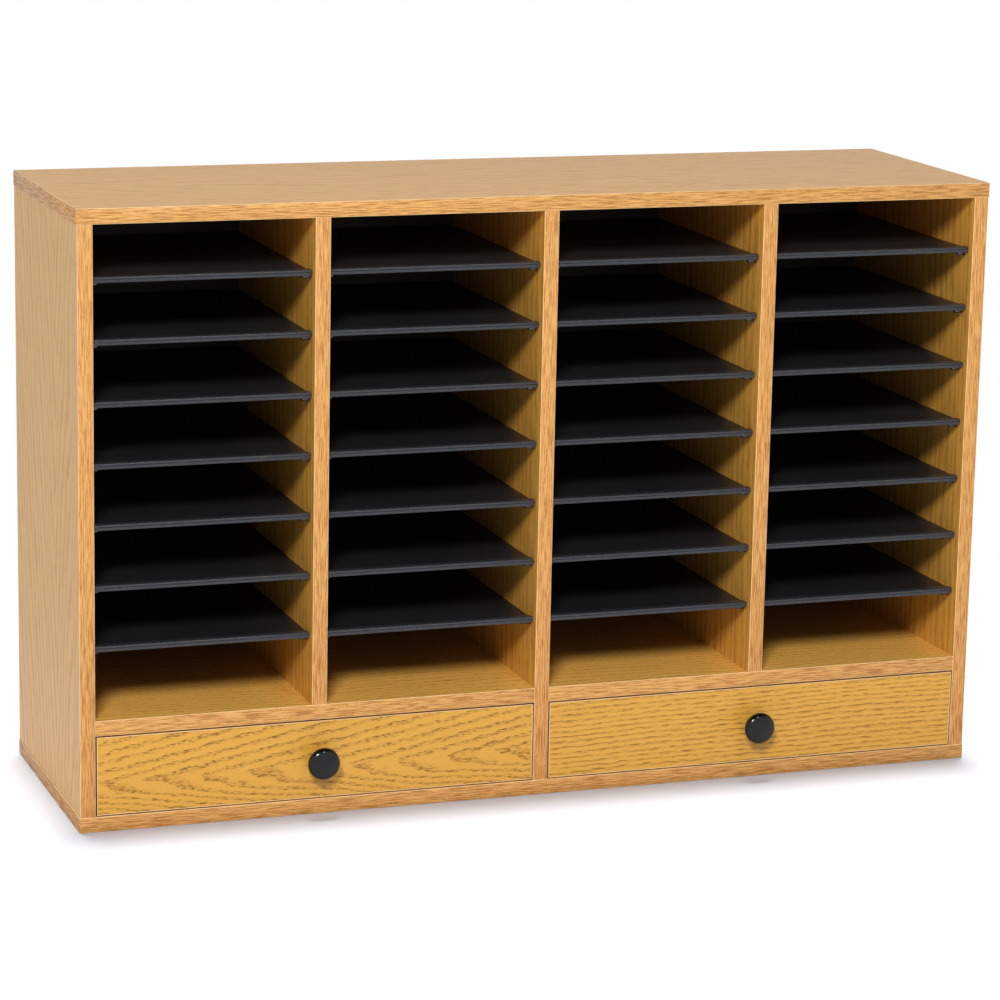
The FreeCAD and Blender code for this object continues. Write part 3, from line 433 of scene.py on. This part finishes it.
def bevel(shape, parts, width, segments, affect="EDGES"):
    """Rounds edges, or the corners of a flat outline."""
    bmesh.ops.bevel(shape, geom=parts, offset=width, segments=segments, profile=0.5, affect=affect, material=-1)


def bar(shape, low, high, ease, segments=2):
    """Adds one box between two corners, with eased edges."""
    cube = bmesh.ops.create_cube(shape, size=1)
    low, high = Vector(low), Vector(high)
    bmesh.ops.scale(shape, vec=high - low, verts=cube["verts"])
    bmesh.ops.translate(shape, vec=(low + high) / 2, verts=cube["verts"])
    bevel(shape, list({edge for vert in cube["verts"] for edge in vert.link_edges}), ease, segments)


def drum(shape, radius, far_radius, length, sides, axis, angle):
    """Adds one short cylinder or cone at the origin, turned on its side, and gives back its corners and rims."""
    verts = bmesh.ops.create_cone(shape, cap_ends=True, segments=sides, radius1=radius, radius2=far_radius,
                                  depth=length)["verts"]
    rims = [edge for edge in {edge for vert in verts for edge in vert.link_edges}
            if abs(edge.verts[0].co.z - edge.verts[1].co.z) < SAME_HEIGHT]
    bmesh.ops.rotate(shape, verts=verts, cent=(0, 0, 0), matrix=Matrix.Rotation(angle, 3, axis))
    return verts, rims


def spun(shape, middle, outline, steps):
    """Spins an outline of (radius, y) pairs round the line along Y through a point."""
    corners = [shape.verts.new((middle.x + radius, y, middle.z)) for radius, y in outline]
    for first, second in zip(corners, corners[1:]):
        shape.edges.new((first, second))
    bmesh.ops.spin(shape, geom=shape.verts[:] + shape.edges[:], cent=middle, axis=(0, 1, 0), angle=TURN, steps=steps,
                   use_merge=True)
    bmesh.ops.remove_doubles(shape, verts=shape.verts, dist=SAME_PLACE)


def piece(name, shape, body, materials, replaced=(), smooth_angle=40):
    """Makes an object of a finished shape, gives it its finishes, and ties it to its body."""
    mesh = bpy.data.meshes.new(name)
    shape.to_mesh(mesh)
    shape.free()
    mesh.shade_smooth()
    mesh.set_sharp_from_angle(angle=math.radians(smooth_angle))
    for material in materials:
        mesh.materials.append(material)
    made = bpy.data.objects.new(name, mesh)
    bpy.context.scene.collection.objects.link(made)
    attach(made, body)
    if replaced:
        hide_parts(*replaced)
    return made


print("A new piece starts as a shape and ends as an object on a body")

# %% [markdown]
# The case has thirteen strips. One covers the front edge of each board, and the top and bottom panels also have
# strips on both ends. Each strip's corners are read from the board that carries it.

# %% Edge bands of the case
BAND_EASE = 0.35 * MM
BAND_SMOOTH = 50

level_low, level_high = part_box("level_edge_bands")
bands = bmesh.new()
for board in ("top_panel", "bottom_panel"):
    low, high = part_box(board)
    bar(bands, (level_low.x, level_low.y, low.z), (level_high.x, low.y, high.z), BAND_EASE)
    bar(bands, (level_low.x, low.y, low.z), (low.x, high.y, high.z), BAND_EASE)
    bar(bands, (high.x, low.y, low.z), (level_high.x, high.y, high.z), BAND_EASE)
for board in ("left_drawer_deck", "right_drawer_deck"):
    low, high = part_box(board)
    bar(bands, (low.x, level_low.y, low.z), (high.x, low.y, high.z), BAND_EASE)
piece("level_bands", bands, "case", [level_band], ["level_edge_bands"], BAND_SMOOTH)

bands = bmesh.new()
for board in ("left_side_panel", "right_side_panel", "center_partition", "left_column_divider",
              "right_column_divider"):
    low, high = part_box(board)
    bar(bands, (low.x, level_low.y, low.z), (high.x, low.y, high.z), BAND_EASE)
piece("upright_bands", bands, "case", [upright_band], ["upright_edge_bands"], BAND_SMOOTH)
print("Eight level strips and five upright ones")

# %% [markdown]
# Each drawer front has a strip on all four edges. Seen from the front, only the strip's thin edge shows, as a
# cream line round the oak: a painted highlight.

# %% Edge bands of the drawer fronts
for side in ("left", "right"):
    low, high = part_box(f"{side}_drawer_front")
    outer_low, outer_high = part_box(f"{side}_drawer_front_bands")
    bands = bmesh.new()
    bar(bands, (outer_low.x, low.y, outer_low.z), (outer_high.x, high.y, low.z), BAND_EASE)
    bar(bands, (outer_low.x, low.y, high.z), (outer_high.x, high.y, outer_high.z), BAND_EASE)
    bar(bands, (outer_low.x, low.y, low.z), (low.x, high.y, high.z), BAND_EASE)
    bar(bands, (high.x, low.y, low.z), (outer_high.x, high.y, high.z), BAND_EASE)
    piece(f"{side}_front_bands", bands, f"{side}_drawer", [drawer_band_gap_shade], [f"{side}_drawer_front_bands"],
          BAND_SMOOTH)
print("Four strips on each drawer front")

# %% [markdown]
# Hardboard is pressed wood fibre. Its face is smooth and its rear shows the print of a wire screen. The shelves
# are painted black, the back sheet is dark brown, and the drawer bottoms are left plain.

# %% Hardboard
SCREEN_WAVES = 3400


def hardboard(name, tone, fleck, roughness, weight=0.6):
    """Pressed fibre: a fine fleck over slow cloudiness, and a faint screen pattern."""
    material, tree, shader, place, parts, facing = new_finish(name)
    fibres = cloud(tree, place, 900, 3, 0.7)
    clouds = cloud(tree, place, 18, 2)
    mark = within(tree, sway(tree, clouds, 0.5, fade(tree, fibres, 0.35, 0.7, 0, weight)))
    tree.links.new(blend(tree, mark, tone, fleck), shader.inputs["Base Color"])
    tree.links.new(fade(tree, mark, 0, 1, roughness, roughness + 0.15), shader.inputs["Roughness"])
    weave = [calc(tree, "SINE", calc(tree, "MULTIPLY", parts.outputs[axis], SCREEN_WAVES)) for axis in "XYZ"]
    screen = calc(tree, "ADD", calc(tree, "ADD", weave[0], weave[1]), weave[2])
    raised(tree, shader, calc(tree, "MULTIPLY_ADD", screen, 0.12, fibres), 0.15 * MM, 0.5)
    return material


shelf_black = hardboard("shelf_black", colour(24, 24, 26), colour(44, 43, 44), 0.42, 0.5)
back_brown = hardboard("back_brown", colour(38, 28, 22), colour(66, 48, 35), 0.55)
bottom_brown = hardboard("bottom_brown", colour(122, 84, 54), colour(88, 58, 36), 0.55)
wear("back_panel", back_brown)
for side in ("left", "right"):
    wear(f"{side}_drawer_bottom", bottom_brown)
print("Three hardboards: shelf, back and drawer bottom")

# %% [markdown]
# The moulding on a shelf's front edge is a pushed-on strip of black plastic. It has a satin surface with faint
# lines along it, left by the tool that the plastic was pressed through.

# %% Moulding plastic
moulding_black, tree, shader, place, parts, facing = new_finish("moulding_black")
draw_lines = axis_noise(tree, parts, (8, 1500, 1500))
dust = fade(tree, cloud(tree, place, 260, 3, 0.7), 0.4, 0.75, 0.1, 0.6)
mark = sway(tree, draw_lines, 0.7, dust)
tree.links.new(blend(tree, mark, colour(40, 41, 45), colour(64, 66, 71)), shader.inputs["Base Color"])
tree.links.new(fade(tree, draw_lines, 0.2, 0.8, 0.30, 0.42), shader.inputs["Roughness"])
raised(tree, shader, draw_lines, 0.1 * MM, 0.3)
print("The moulding is satin black")

# %% [markdown]
# All shelves are alike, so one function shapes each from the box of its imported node. The sheet is a bar. The
# moulding starts as the outline of its section: two lips that grip the sheet, a nose before it, and a bead along
# the top of the nose over a narrow groove. Its corners are rounded before it is drawn out along the shelf.

# %% Shelves
SHEET_THICK, SLACK, SHEET_EASE = 3.2 * MM, 0.1 * MM, 0.25 * MM
LIP, NOSE, DEPTH = 1.4 * MM, 3.6 * MM, 9.5 * MM
FACE_BACK, GROOVE_BACK = 0.3 * MM, 0.75 * MM
BEAD_FOOT, GROOVE_MIDDLE, GROOVE_FOOT = 2.3 * MM, 2.6 * MM, 3.0 * MM
UNDER_ROUND, REAR_ROUND, CROWN_ROUND, BEAD_ROUND = 1.2 * MM, 0.5 * MM, 1.1 * MM, 0.7 * MM


def moulding(shape, low, high):
    """The channel that grips the front of a sheet, between the shelf's lowest and highest corner."""
    bottom, top = low.z, high.z
    under, over = bottom + LIP, top - LIP
    front, nose, rear = low.y, low.y + NOSE, low.y + DEPTH
    face_line, groove = front + FACE_BACK, front + GROOVE_BACK
    outline = [(face_line, bottom), (rear, bottom), (rear, under), (nose, under), (nose, over), (rear, over),
               (rear, top), (front, top), (front, top - BEAD_FOOT), (groove, top - GROOVE_MIDDLE),
               (face_line, top - GROOVE_FOOT)]
    corners = [shape.verts.new((low.x, y, z)) for y, z in outline]
    shape.faces.new(corners)
    for number, ease in ((0, UNDER_ROUND), (6, REAR_ROUND), (7, CROWN_ROUND), (8, BEAD_ROUND)):
        bevel(shape, [corners[number]], ease, 4, "VERTICES")
    face = next(iter(shape.faces))
    drawn = bmesh.ops.extrude_face_region(shape, geom=[face])
    ends = [part for part in drawn["geom"] if isinstance(part, bmesh.types.BMVert)]
    bmesh.ops.translate(shape, vec=(high.x - low.x, 0, 0), verts=ends)


def shelf_shape(low, high):
    """One shelf: its moulding in the second finish and its sheet in the first."""
    shape = bmesh.new()
    moulding(shape, low, high)
    for face in shape.faces:
        face.material_index = 1
    sheet_low = low.z + LIP + SLACK
    bar(shape, (low.x, low.y + NOSE, sheet_low), (high.x, high.y, sheet_low + SHEET_THICK), SHEET_EASE, 1)
    bmesh.ops.recalc_face_normals(shape, faces=shape.faces)
    return shape


shelf_nodes = sorted(name for name in nodes if "_shelf_" in name)
for node in shelf_nodes:
    low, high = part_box(node)
    piece(f"{node}_dressed", shelf_shape(low, high), node, [shelf_black, moulding_black], [node])
print(len(shelf_nodes), "shelves, each", round((high.x - low.x) / MM, 1), "mm wide")

# %% [markdown]
# The shelf pins are of turned steel, brushed round by the lathe. The screws and the nails are of a paler steel.

# %% Steel
SCRATCHES = (2500, 300, 2500)


def lathe_steel(name, tone, roughness=0.34):
    """Plated steel with fine scratches and slight dullness in places."""
    material, tree, shader, place, parts, facing = new_finish(name)
    scratches = axis_noise(tree, parts, SCRATCHES)
    dull = fade(tree, cloud(tree, place, 300, 3), 0.35, 0.75, 0, 0.5)
    dull_tone = tuple(part * 0.6 for part in tone)
    tree.links.new(blend(tree, dull, tone, dull_tone), shader.inputs["Base Color"])
    tree.links.new(fade(tree, scratches, 0.2, 0.8, roughness - 0.08, roughness + 0.1), shader.inputs["Roughness"])
    shader.inputs["Metallic"].default_value = 1.0
    raised(tree, shader, scratches, 0.05 * MM, 0.3)
    return material


pin_steel = lathe_steel("pin_steel", colour(88, 88, 90), 0.32)
screw_steel = lathe_steel("screw_steel", colour(196, 190, 174))
print("Two steels, for the pins and for the screws and nails")

# %% [markdown]
# Four pins carry each shelf. Each is a drum with rounded ends, and there are so many that each has only a few dozen
# faces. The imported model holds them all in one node, so their places are read from its corners.

# %% Shelf pins
PIN_RADIUS, PIN_ROUND, PIN_SIDES = 3.1 * MM, 0.7 * MM, 12


def pin_boxes():
    """The box of each packed pin: the loose triangles are joined, then parted by piece."""
    shape = bmesh.new()
    shape.from_mesh(nodes["shelf_pins"].data)
    bmesh.ops.remove_doubles(shape, verts=shape.verts, dist=SAME_PLACE)
    waiting, found = set(shape.verts), []
    while waiting:
        group, edge = set(), [waiting.pop()]
        while edge:
            vert = edge.pop()
            group.add(vert.co.copy().freeze())
            for link in vert.link_edges:
                other = link.other_vert(vert)
                if other in waiting:
                    waiting.discard(other)
                    edge.append(other)
        low = Vector([min(point[axis] for point in group) for axis in range(3)])
        high = Vector([max(point[axis] for point in group) for axis in range(3)])
        found.append((low, high))
    shape.free()
    return found


pins = bmesh.new()
places = pin_boxes()
for low, high in places:
    verts, rims = drum(pins, PIN_RADIUS, PIN_RADIUS, high.x - low.x, PIN_SIDES, "Y", TURN / 4)
    bmesh.ops.translate(pins, vec=(low + high) / 2, verts=verts)
    bevel(pins, rims, PIN_ROUND, 1)
piece("round_pins", pins, "case", [pin_steel], ["shelf_pins"], smooth_angle=50)
print(len(places), "pins")

# %% [markdown]
# The knobs are turned from black plastic and polished, so they are nearly a mirror. A little haze and grime keep
# them from looking new.

# %% Knob plastic
knob_black, tree, shader, place, parts, facing = new_finish("knob_black")
haze = cloud(tree, place, 160, 3, 0.6)
grime = cloud(tree, place, 900, 2, 0.6)
tree.links.new(blend(tree, fade(tree, haze, 0.35, 0.75), colour(6, 6, 7), colour(15, 15, 17)),
               shader.inputs["Base Color"])
tree.links.new(fade(tree, grime, 0.35, 0.8, 0.09, 0.17), shader.inputs["Roughness"])
shader.inputs["Specular IOR Level"].default_value = 0.35
raised(tree, shader, haze, 0.08 * MM, 0.15)
print("The knob plastic is a polished black")

# %% [markdown]
# A knob's profile is drawn once, from the foot to the crown, and spun round the knob's own line. The rim is a tight
# curve, so it shows small bright pictures of the lamps. Each pair of numbers is a radius and a distance from the
# drawer front, in millimetres.

# %% Knobs
KNOB_OUTLINE = [(0.0, 0.0), (8.5, 0.0), (8.5, 1.2), (7.9, 2.0), (7.3, 3.8), (7.25, 5.5), (7.5, 7.2), (8.3, 8.7),
                (9.4, 9.6), (11.5, 10.9), (14.0, 12.5), (15.6, 14.0), (16.6, 15.6), (17.0, 17.3), (16.9, 18.7),
                (16.3, 20.3), (15.3, 21.5), (13.8, 22.5), (11.8, 23.3), (9.0, 24.0), (6.0, 24.5), (3.0, 24.8),
                (0.0, 24.9)]
KNOB_STEPS = 56


def knob_shape(node):
    """Spins the outline round the knob's middle line, with the foot on the drawer front."""
    low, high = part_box(node)
    shape = bmesh.new()
    spun(shape, (low + high) / 2, [(radius * MM, high.y - reach * MM) for radius, reach in KNOB_OUTLINE], KNOB_STEPS)
    bmesh.ops.recalc_face_normals(shape, faces=shape.faces)
    return shape


for side in ("left", "right"):
    knob = piece(f"{side}_knob_turned", knob_shape(f"{side}_drawer_knob"), f"{side}_drawer", [knob_black],
                 [f"{side}_drawer_knob"], smooth_angle=50)
    print(knob.name, len(knob.data.polygons), "faces")

# %% [markdown]
# One screw holds each knob from inside the drawer. Its pan head has a cross recess for the driver, which is made
# by drawing a cross in the top of the head and pressing it in.

# %% Knob screws
TIP_RADIUS, SHANK_RADIUS, TIP_LENGTH = 1.2 * MM, 1.95 * MM, 1.5 * MM
HEAD_HIGH, RECESS_DEEP, SCREW_STEPS = 2.6 * MM, 1.4 * MM, 24
ARM_SHARE, ARM_HALF_SHARE = 0.48, 0.13


def cross_outline(arm, half):
    """The twelve corners of a cross with arms of one length and half width."""
    quarter = [(arm, half), (half, half), (half, arm)]
    corners = []
    for mirror_x, mirror_z, order in ((1, 1, 1), (-1, 1, -1), (-1, -1, 1), (1, -1, -1)):
        corners += [(mirror_x * x, mirror_z * z) for x, z in quarter[::order]]
    return corners


def screw_shape(node):
    """A round shank and a pan head with a cross recess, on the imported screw's line."""
    low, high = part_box(node)
    middle = (low + high) / 2
    head = (high.x - low.x) / 2
    rear, seat = high.y, high.y - HEAD_HIGH
    shape = bmesh.new()
    spun(shape, middle, [(0.0, low.y), (TIP_RADIUS, low.y), (SHANK_RADIUS, low.y + TIP_LENGTH), (SHANK_RADIUS, seat),
                         (head * 0.97, seat), (head, seat + 0.5 * MM), (head * 0.97, rear - 1.1 * MM),
                         (head * 0.84, rear - 0.4 * MM), (head * 0.62, rear)], SCREW_STEPS)
    rim = [edge for edge in shape.edges if edge.is_boundary]
    cross = cross_outline(head * ARM_SHARE, head * ARM_HALF_SHARE)
    tips = [shape.verts.new((middle.x + x, rear, middle.z + z)) for x, z in cross]
    ring = [shape.edges.new((first, second)) for first, second in zip(tips, tips[1:] + tips[:1])]
    bmesh.ops.bridge_loops(shape, edges=rim + ring)
    pressed = bmesh.ops.extrude_edge_only(shape, edges=ring)
    floor_verts = [part for part in pressed["geom"] if isinstance(part, bmesh.types.BMVert)]
    bmesh.ops.translate(shape, vec=(0, -RECESS_DEEP, 0), verts=floor_verts)
    floor_edges = [part for part in pressed["geom"] if isinstance(part, bmesh.types.BMEdge) and part.is_boundary]
    bmesh.ops.contextual_create(shape, geom=floor_edges)
    bmesh.ops.recalc_face_normals(shape, faces=shape.faces)
    return shape


for side in ("left", "right"):
    piece(f"{side}_knob_pan_screw", screw_shape(f"{side}_drawer_knob_screw"), f"{side}_drawer", [screw_steel],
          [f"{side}_drawer_knob_screw"], smooth_angle=35)
print("Two screws with a cross recess")

# %% [markdown]
# The drawer boxes are plain particle board with a pale wood-grain film, and their dowels are beech. These are seen
# only when a drawer is open, but a buyer opens it.

# %% Drawer boxes and dowels
FILM_STRENGTH = 0.5
FILM_LINES = dict(middle=0.4, run=2, **even_slopes(90), light=colour(226, 202, 160), dark=colour(178, 144, 98))
BEECH_LINES = dict(middle=0.4, run=2, **even_slopes(400), seed=52.0, light=colour(222, 186, 138),
                   dark=colour(176, 132, 86))

for side in ("left", "right"):
    for part, grain, seed, raw_rear in (("left_side", "Y", 41.0, True), ("right_side", "Y", 42.0, True),
                                        ("back", "X", 44.0, False)):
        film = dict(FILM_LINES, seed=seed)
        wear(f"{side}_drawer_{part}", oak_laminate(f"film_{side}_{part}", grain, "Z", film, FILM_STRENGTH, raw_rear))
beech = oak_laminate("beech_dowels", "X", "Y", BEECH_LINES, FILM_STRENGTH, raw_rear=False)
for node in ("joint_dowels", "left_drawer_dowels", "right_drawer_dowels"):
    wear(node, beech)
print("The drawer boxes and dowels have their finishes")

# %% [markdown]
# The back sheet is nailed into the boards' rebates. A nail's head is a small flat disc with a soft edge, and it
# lies in the sheet's recess, so nothing stands out behind the case.

# %% Nails in the back
NAIL_INSET, NAIL_RADIUS, NAIL_TOP_RADIUS, NAIL_HIGH = 5 * MM, 2.2 * MM, 1.65 * MM, 0.5 * MM
NAIL_SIDES = 14
SPACES_ACROSS, SPACES_UP = 8, 4
back_low, back_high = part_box("back_panel")


def nail_places():
    """Nail positions round the sheet's edge, and down the middle partition and the dividers."""
    left, right = back_low.x + NAIL_INSET, back_high.x - NAIL_INSET
    bottom, top = back_low.z + NAIL_INSET, back_high.z - NAIL_INSET
    across = [left + (right - left) * part / SPACES_ACROSS for part in range(SPACES_ACROSS + 1)]
    up = [bottom + (top - bottom) * part / SPACES_UP for part in range(1, SPACES_UP)]
    places = [(x, z) for x in across for z in (bottom, top)] + [(x, z) for x in (left, right) for z in up]
    for board in ("center_partition", "left_column_divider", "right_column_divider"):
        low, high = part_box(board)
        places += [((low.x + high.x) / 2, z) for z in up]
    return places


nails = bmesh.new()
for x, z in nail_places():
    verts, _ = drum(nails, NAIL_RADIUS, NAIL_TOP_RADIUS, NAIL_HIGH, NAIL_SIDES, "X", -TURN / 4)
    bmesh.ops.translate(nails, vec=(x, back_high.y + NAIL_HIGH / 2, z), verts=verts)
piece("back_nails", nails, "case", [screw_steel])
print(len(nail_places()), "nails")

# %% [markdown]
# The floor is plain white. Near the organizer it is a matte surface that takes the shadow, and far away it fades
# into plain white, which the camera and mirrors see at a strength of one. A faint glow of its own keeps the matte
# part from looking grey.

# %% Floor
FLOOR_SIZE, FLOOR_DROP = 20, 0.4 * MM
MATTE_WITHIN, PLAIN_BEYOND = 0.62, 1.15
GLOW_STRENGTH = 0.2
PLAIN_UNSEEN = 0.6

floor_shape = bmesh.new()
bmesh.ops.create_grid(floor_shape, x_segments=1, y_segments=1, size=FLOOR_SIZE)
floor_mesh = bpy.data.meshes.new("studio_floor")
floor_shape.to_mesh(floor_mesh)
floor_shape.free()
floor = bpy.data.objects.new("studio_floor", floor_mesh)
floor.location = (0, 0, -FLOOR_DROP)
bpy.context.scene.collection.objects.link(floor)

floor_white = bpy.data.materials.new("floor_white")
floor_white.use_nodes = True
tree = floor_white.node_tree
tree.nodes.remove(tree.nodes["Principled BSDF"])


def mirrored(tree, rays):
    """Whether a ray comes off a shiny surface or through a clear one."""
    return calc(tree, "MAXIMUM", rays.outputs["Is Glossy Ray"], rays.outputs["Is Transmission Ray"])


rays = step(tree, "ShaderNodeLightPath")
seen = calc(tree, "MAXIMUM", rays.outputs["Is Camera Ray"], mirrored(tree, rays))
place = step(tree, "ShaderNodeTexCoord").outputs["Object"]
far_off = step(tree, "ShaderNodeVectorMath", {0: place}, operation="LENGTH").outputs["Value"]
matte = step(tree, "ShaderNodeBsdfDiffuse", {"Color": (0.80, 0.80, 0.81, 1)}).outputs[0]
glow_strength = calc(tree, "MULTIPLY", seen, GLOW_STRENGTH)
glow = step(tree, "ShaderNodeEmission", {"Color": (0.99, 1.03, 1.08, 1), "Strength": glow_strength}).outputs[0]
near = step(tree, "ShaderNodeAddShader", {0: matte, 1: glow}).outputs[0]
plain_strength = fade(tree, seen, 0, 1, PLAIN_UNSEEN, 1)
plain = step(tree, "ShaderNodeEmission", {"Color": (1, 1, 1, 1), "Strength": plain_strength}).outputs[0]
fading = fade(tree, far_off, MATTE_WITHIN, PLAIN_BEYOND)
whole = step(tree, "ShaderNodeMixShader", {0: fading, 1: near, 2: plain}).outputs[0]
tree.links.new(whole, tree.nodes["Material Output"].inputs["Surface"])
floor_mesh.materials.append(floor_white)
print("The floor fades to white between", MATTE_WITHIN, "and", PLAIN_BEYOND, "m")

# %% [markdown]
# The light is a large soft lamp beside the camera, a small one higher up, and a pale room all round. The floor has
# a light of its own that comes nearly straight down, so the organizer's shadow stays close to its base. The room is
# white near the horizon and dim overhead, as a studio is, and the camera always sees it white. What it sheds on dull
# surfaces is weak and a little blue.

# %% Lamps and room
CASE_MIDDLE = Vector((0, 0, 0.3))
ROOM_FILL = 0.22
ROOM_TINT = (0.80, 1.0, 1.38)
WHITE_BELOW, DIM_ABOVE, CEILING = 0.45, 0.8, 0.12


def light_only(lamp, name, state):
    """Lets a lamp light the floor alone, or everything but the floor."""
    group = bpy.data.collections.new(name)
    group.objects.link(floor)
    group.collection_objects[0].light_linking.link_state = state
    lamp.light_linking.receiver_collection = group


def soft_lamp(name, place, width, power):
    """A square lamp of a given width that faces the case and leaves out the floor."""
    data = bpy.data.lights.new(name, "AREA")
    data.shape, data.size, data.energy = "SQUARE", width, power
    lamp = bpy.data.objects.new(name, data)
    lamp.location = place
    lamp.rotation_euler = (CASE_MIDDLE - Vector(place)).to_track_quat("-Z", "Y").to_euler()
    bpy.context.scene.collection.objects.link(lamp)
    light_only(lamp, f"{name}_leaves_out", "EXCLUDE")
    return lamp


front_lamp = soft_lamp("front_lamp", (-2.05, -4.2, 3.2), width=1.0, power=208)
front_lamp.data.color = (1.0, 0.985, 0.95)
soft_lamp("upper_lamp", (0.6, -3.3, 3.2), width=0.36, power=24)
sky_data = bpy.data.lights.new("floor_light", "SUN")
sky_data.energy, sky_data.angle = 2.8, math.radians(6.5)
sky = bpy.data.objects.new("floor_light", sky_data)
sky.location = (0, 0.2, 3)
sky.rotation_euler = (math.radians(-3.5), math.radians(0.6), 0)
bpy.context.scene.collection.objects.link(sky)
light_only(sky, "floor_light_takes", "INCLUDE")

world = bpy.data.worlds.new("pale_room")
bpy.context.scene.world = world
world.use_nodes = True
tree = world.node_tree
background = tree.nodes["Background"]
rays = step(tree, "ShaderNodeLightPath")
height = step(tree, "ShaderNodeSeparateXYZ", {0: step(tree, "ShaderNodeTexCoord").outputs["Generated"]}).outputs["Z"]
ceiling = fade(tree, height, WHITE_BELOW, DIM_ABOVE, 1, CEILING)
mirror = mirrored(tree, rays)
strength = calc(tree, "MULTIPLY_ADD", mirror, calc(tree, "SUBTRACT", ceiling, ROOM_FILL), ROOM_FILL)
strength = calc(tree, "MAXIMUM", strength, rays.outputs["Is Camera Ray"])
tree.links.new(strength, background.inputs["Strength"])
seen = calc(tree, "MAXIMUM", mirror, rays.outputs["Is Camera Ray"])
tree.links.new(blend(tree, seen, ROOM_TINT, (1, 1, 1)), background.inputs["Color"])
print("Three lamps and a pale room")
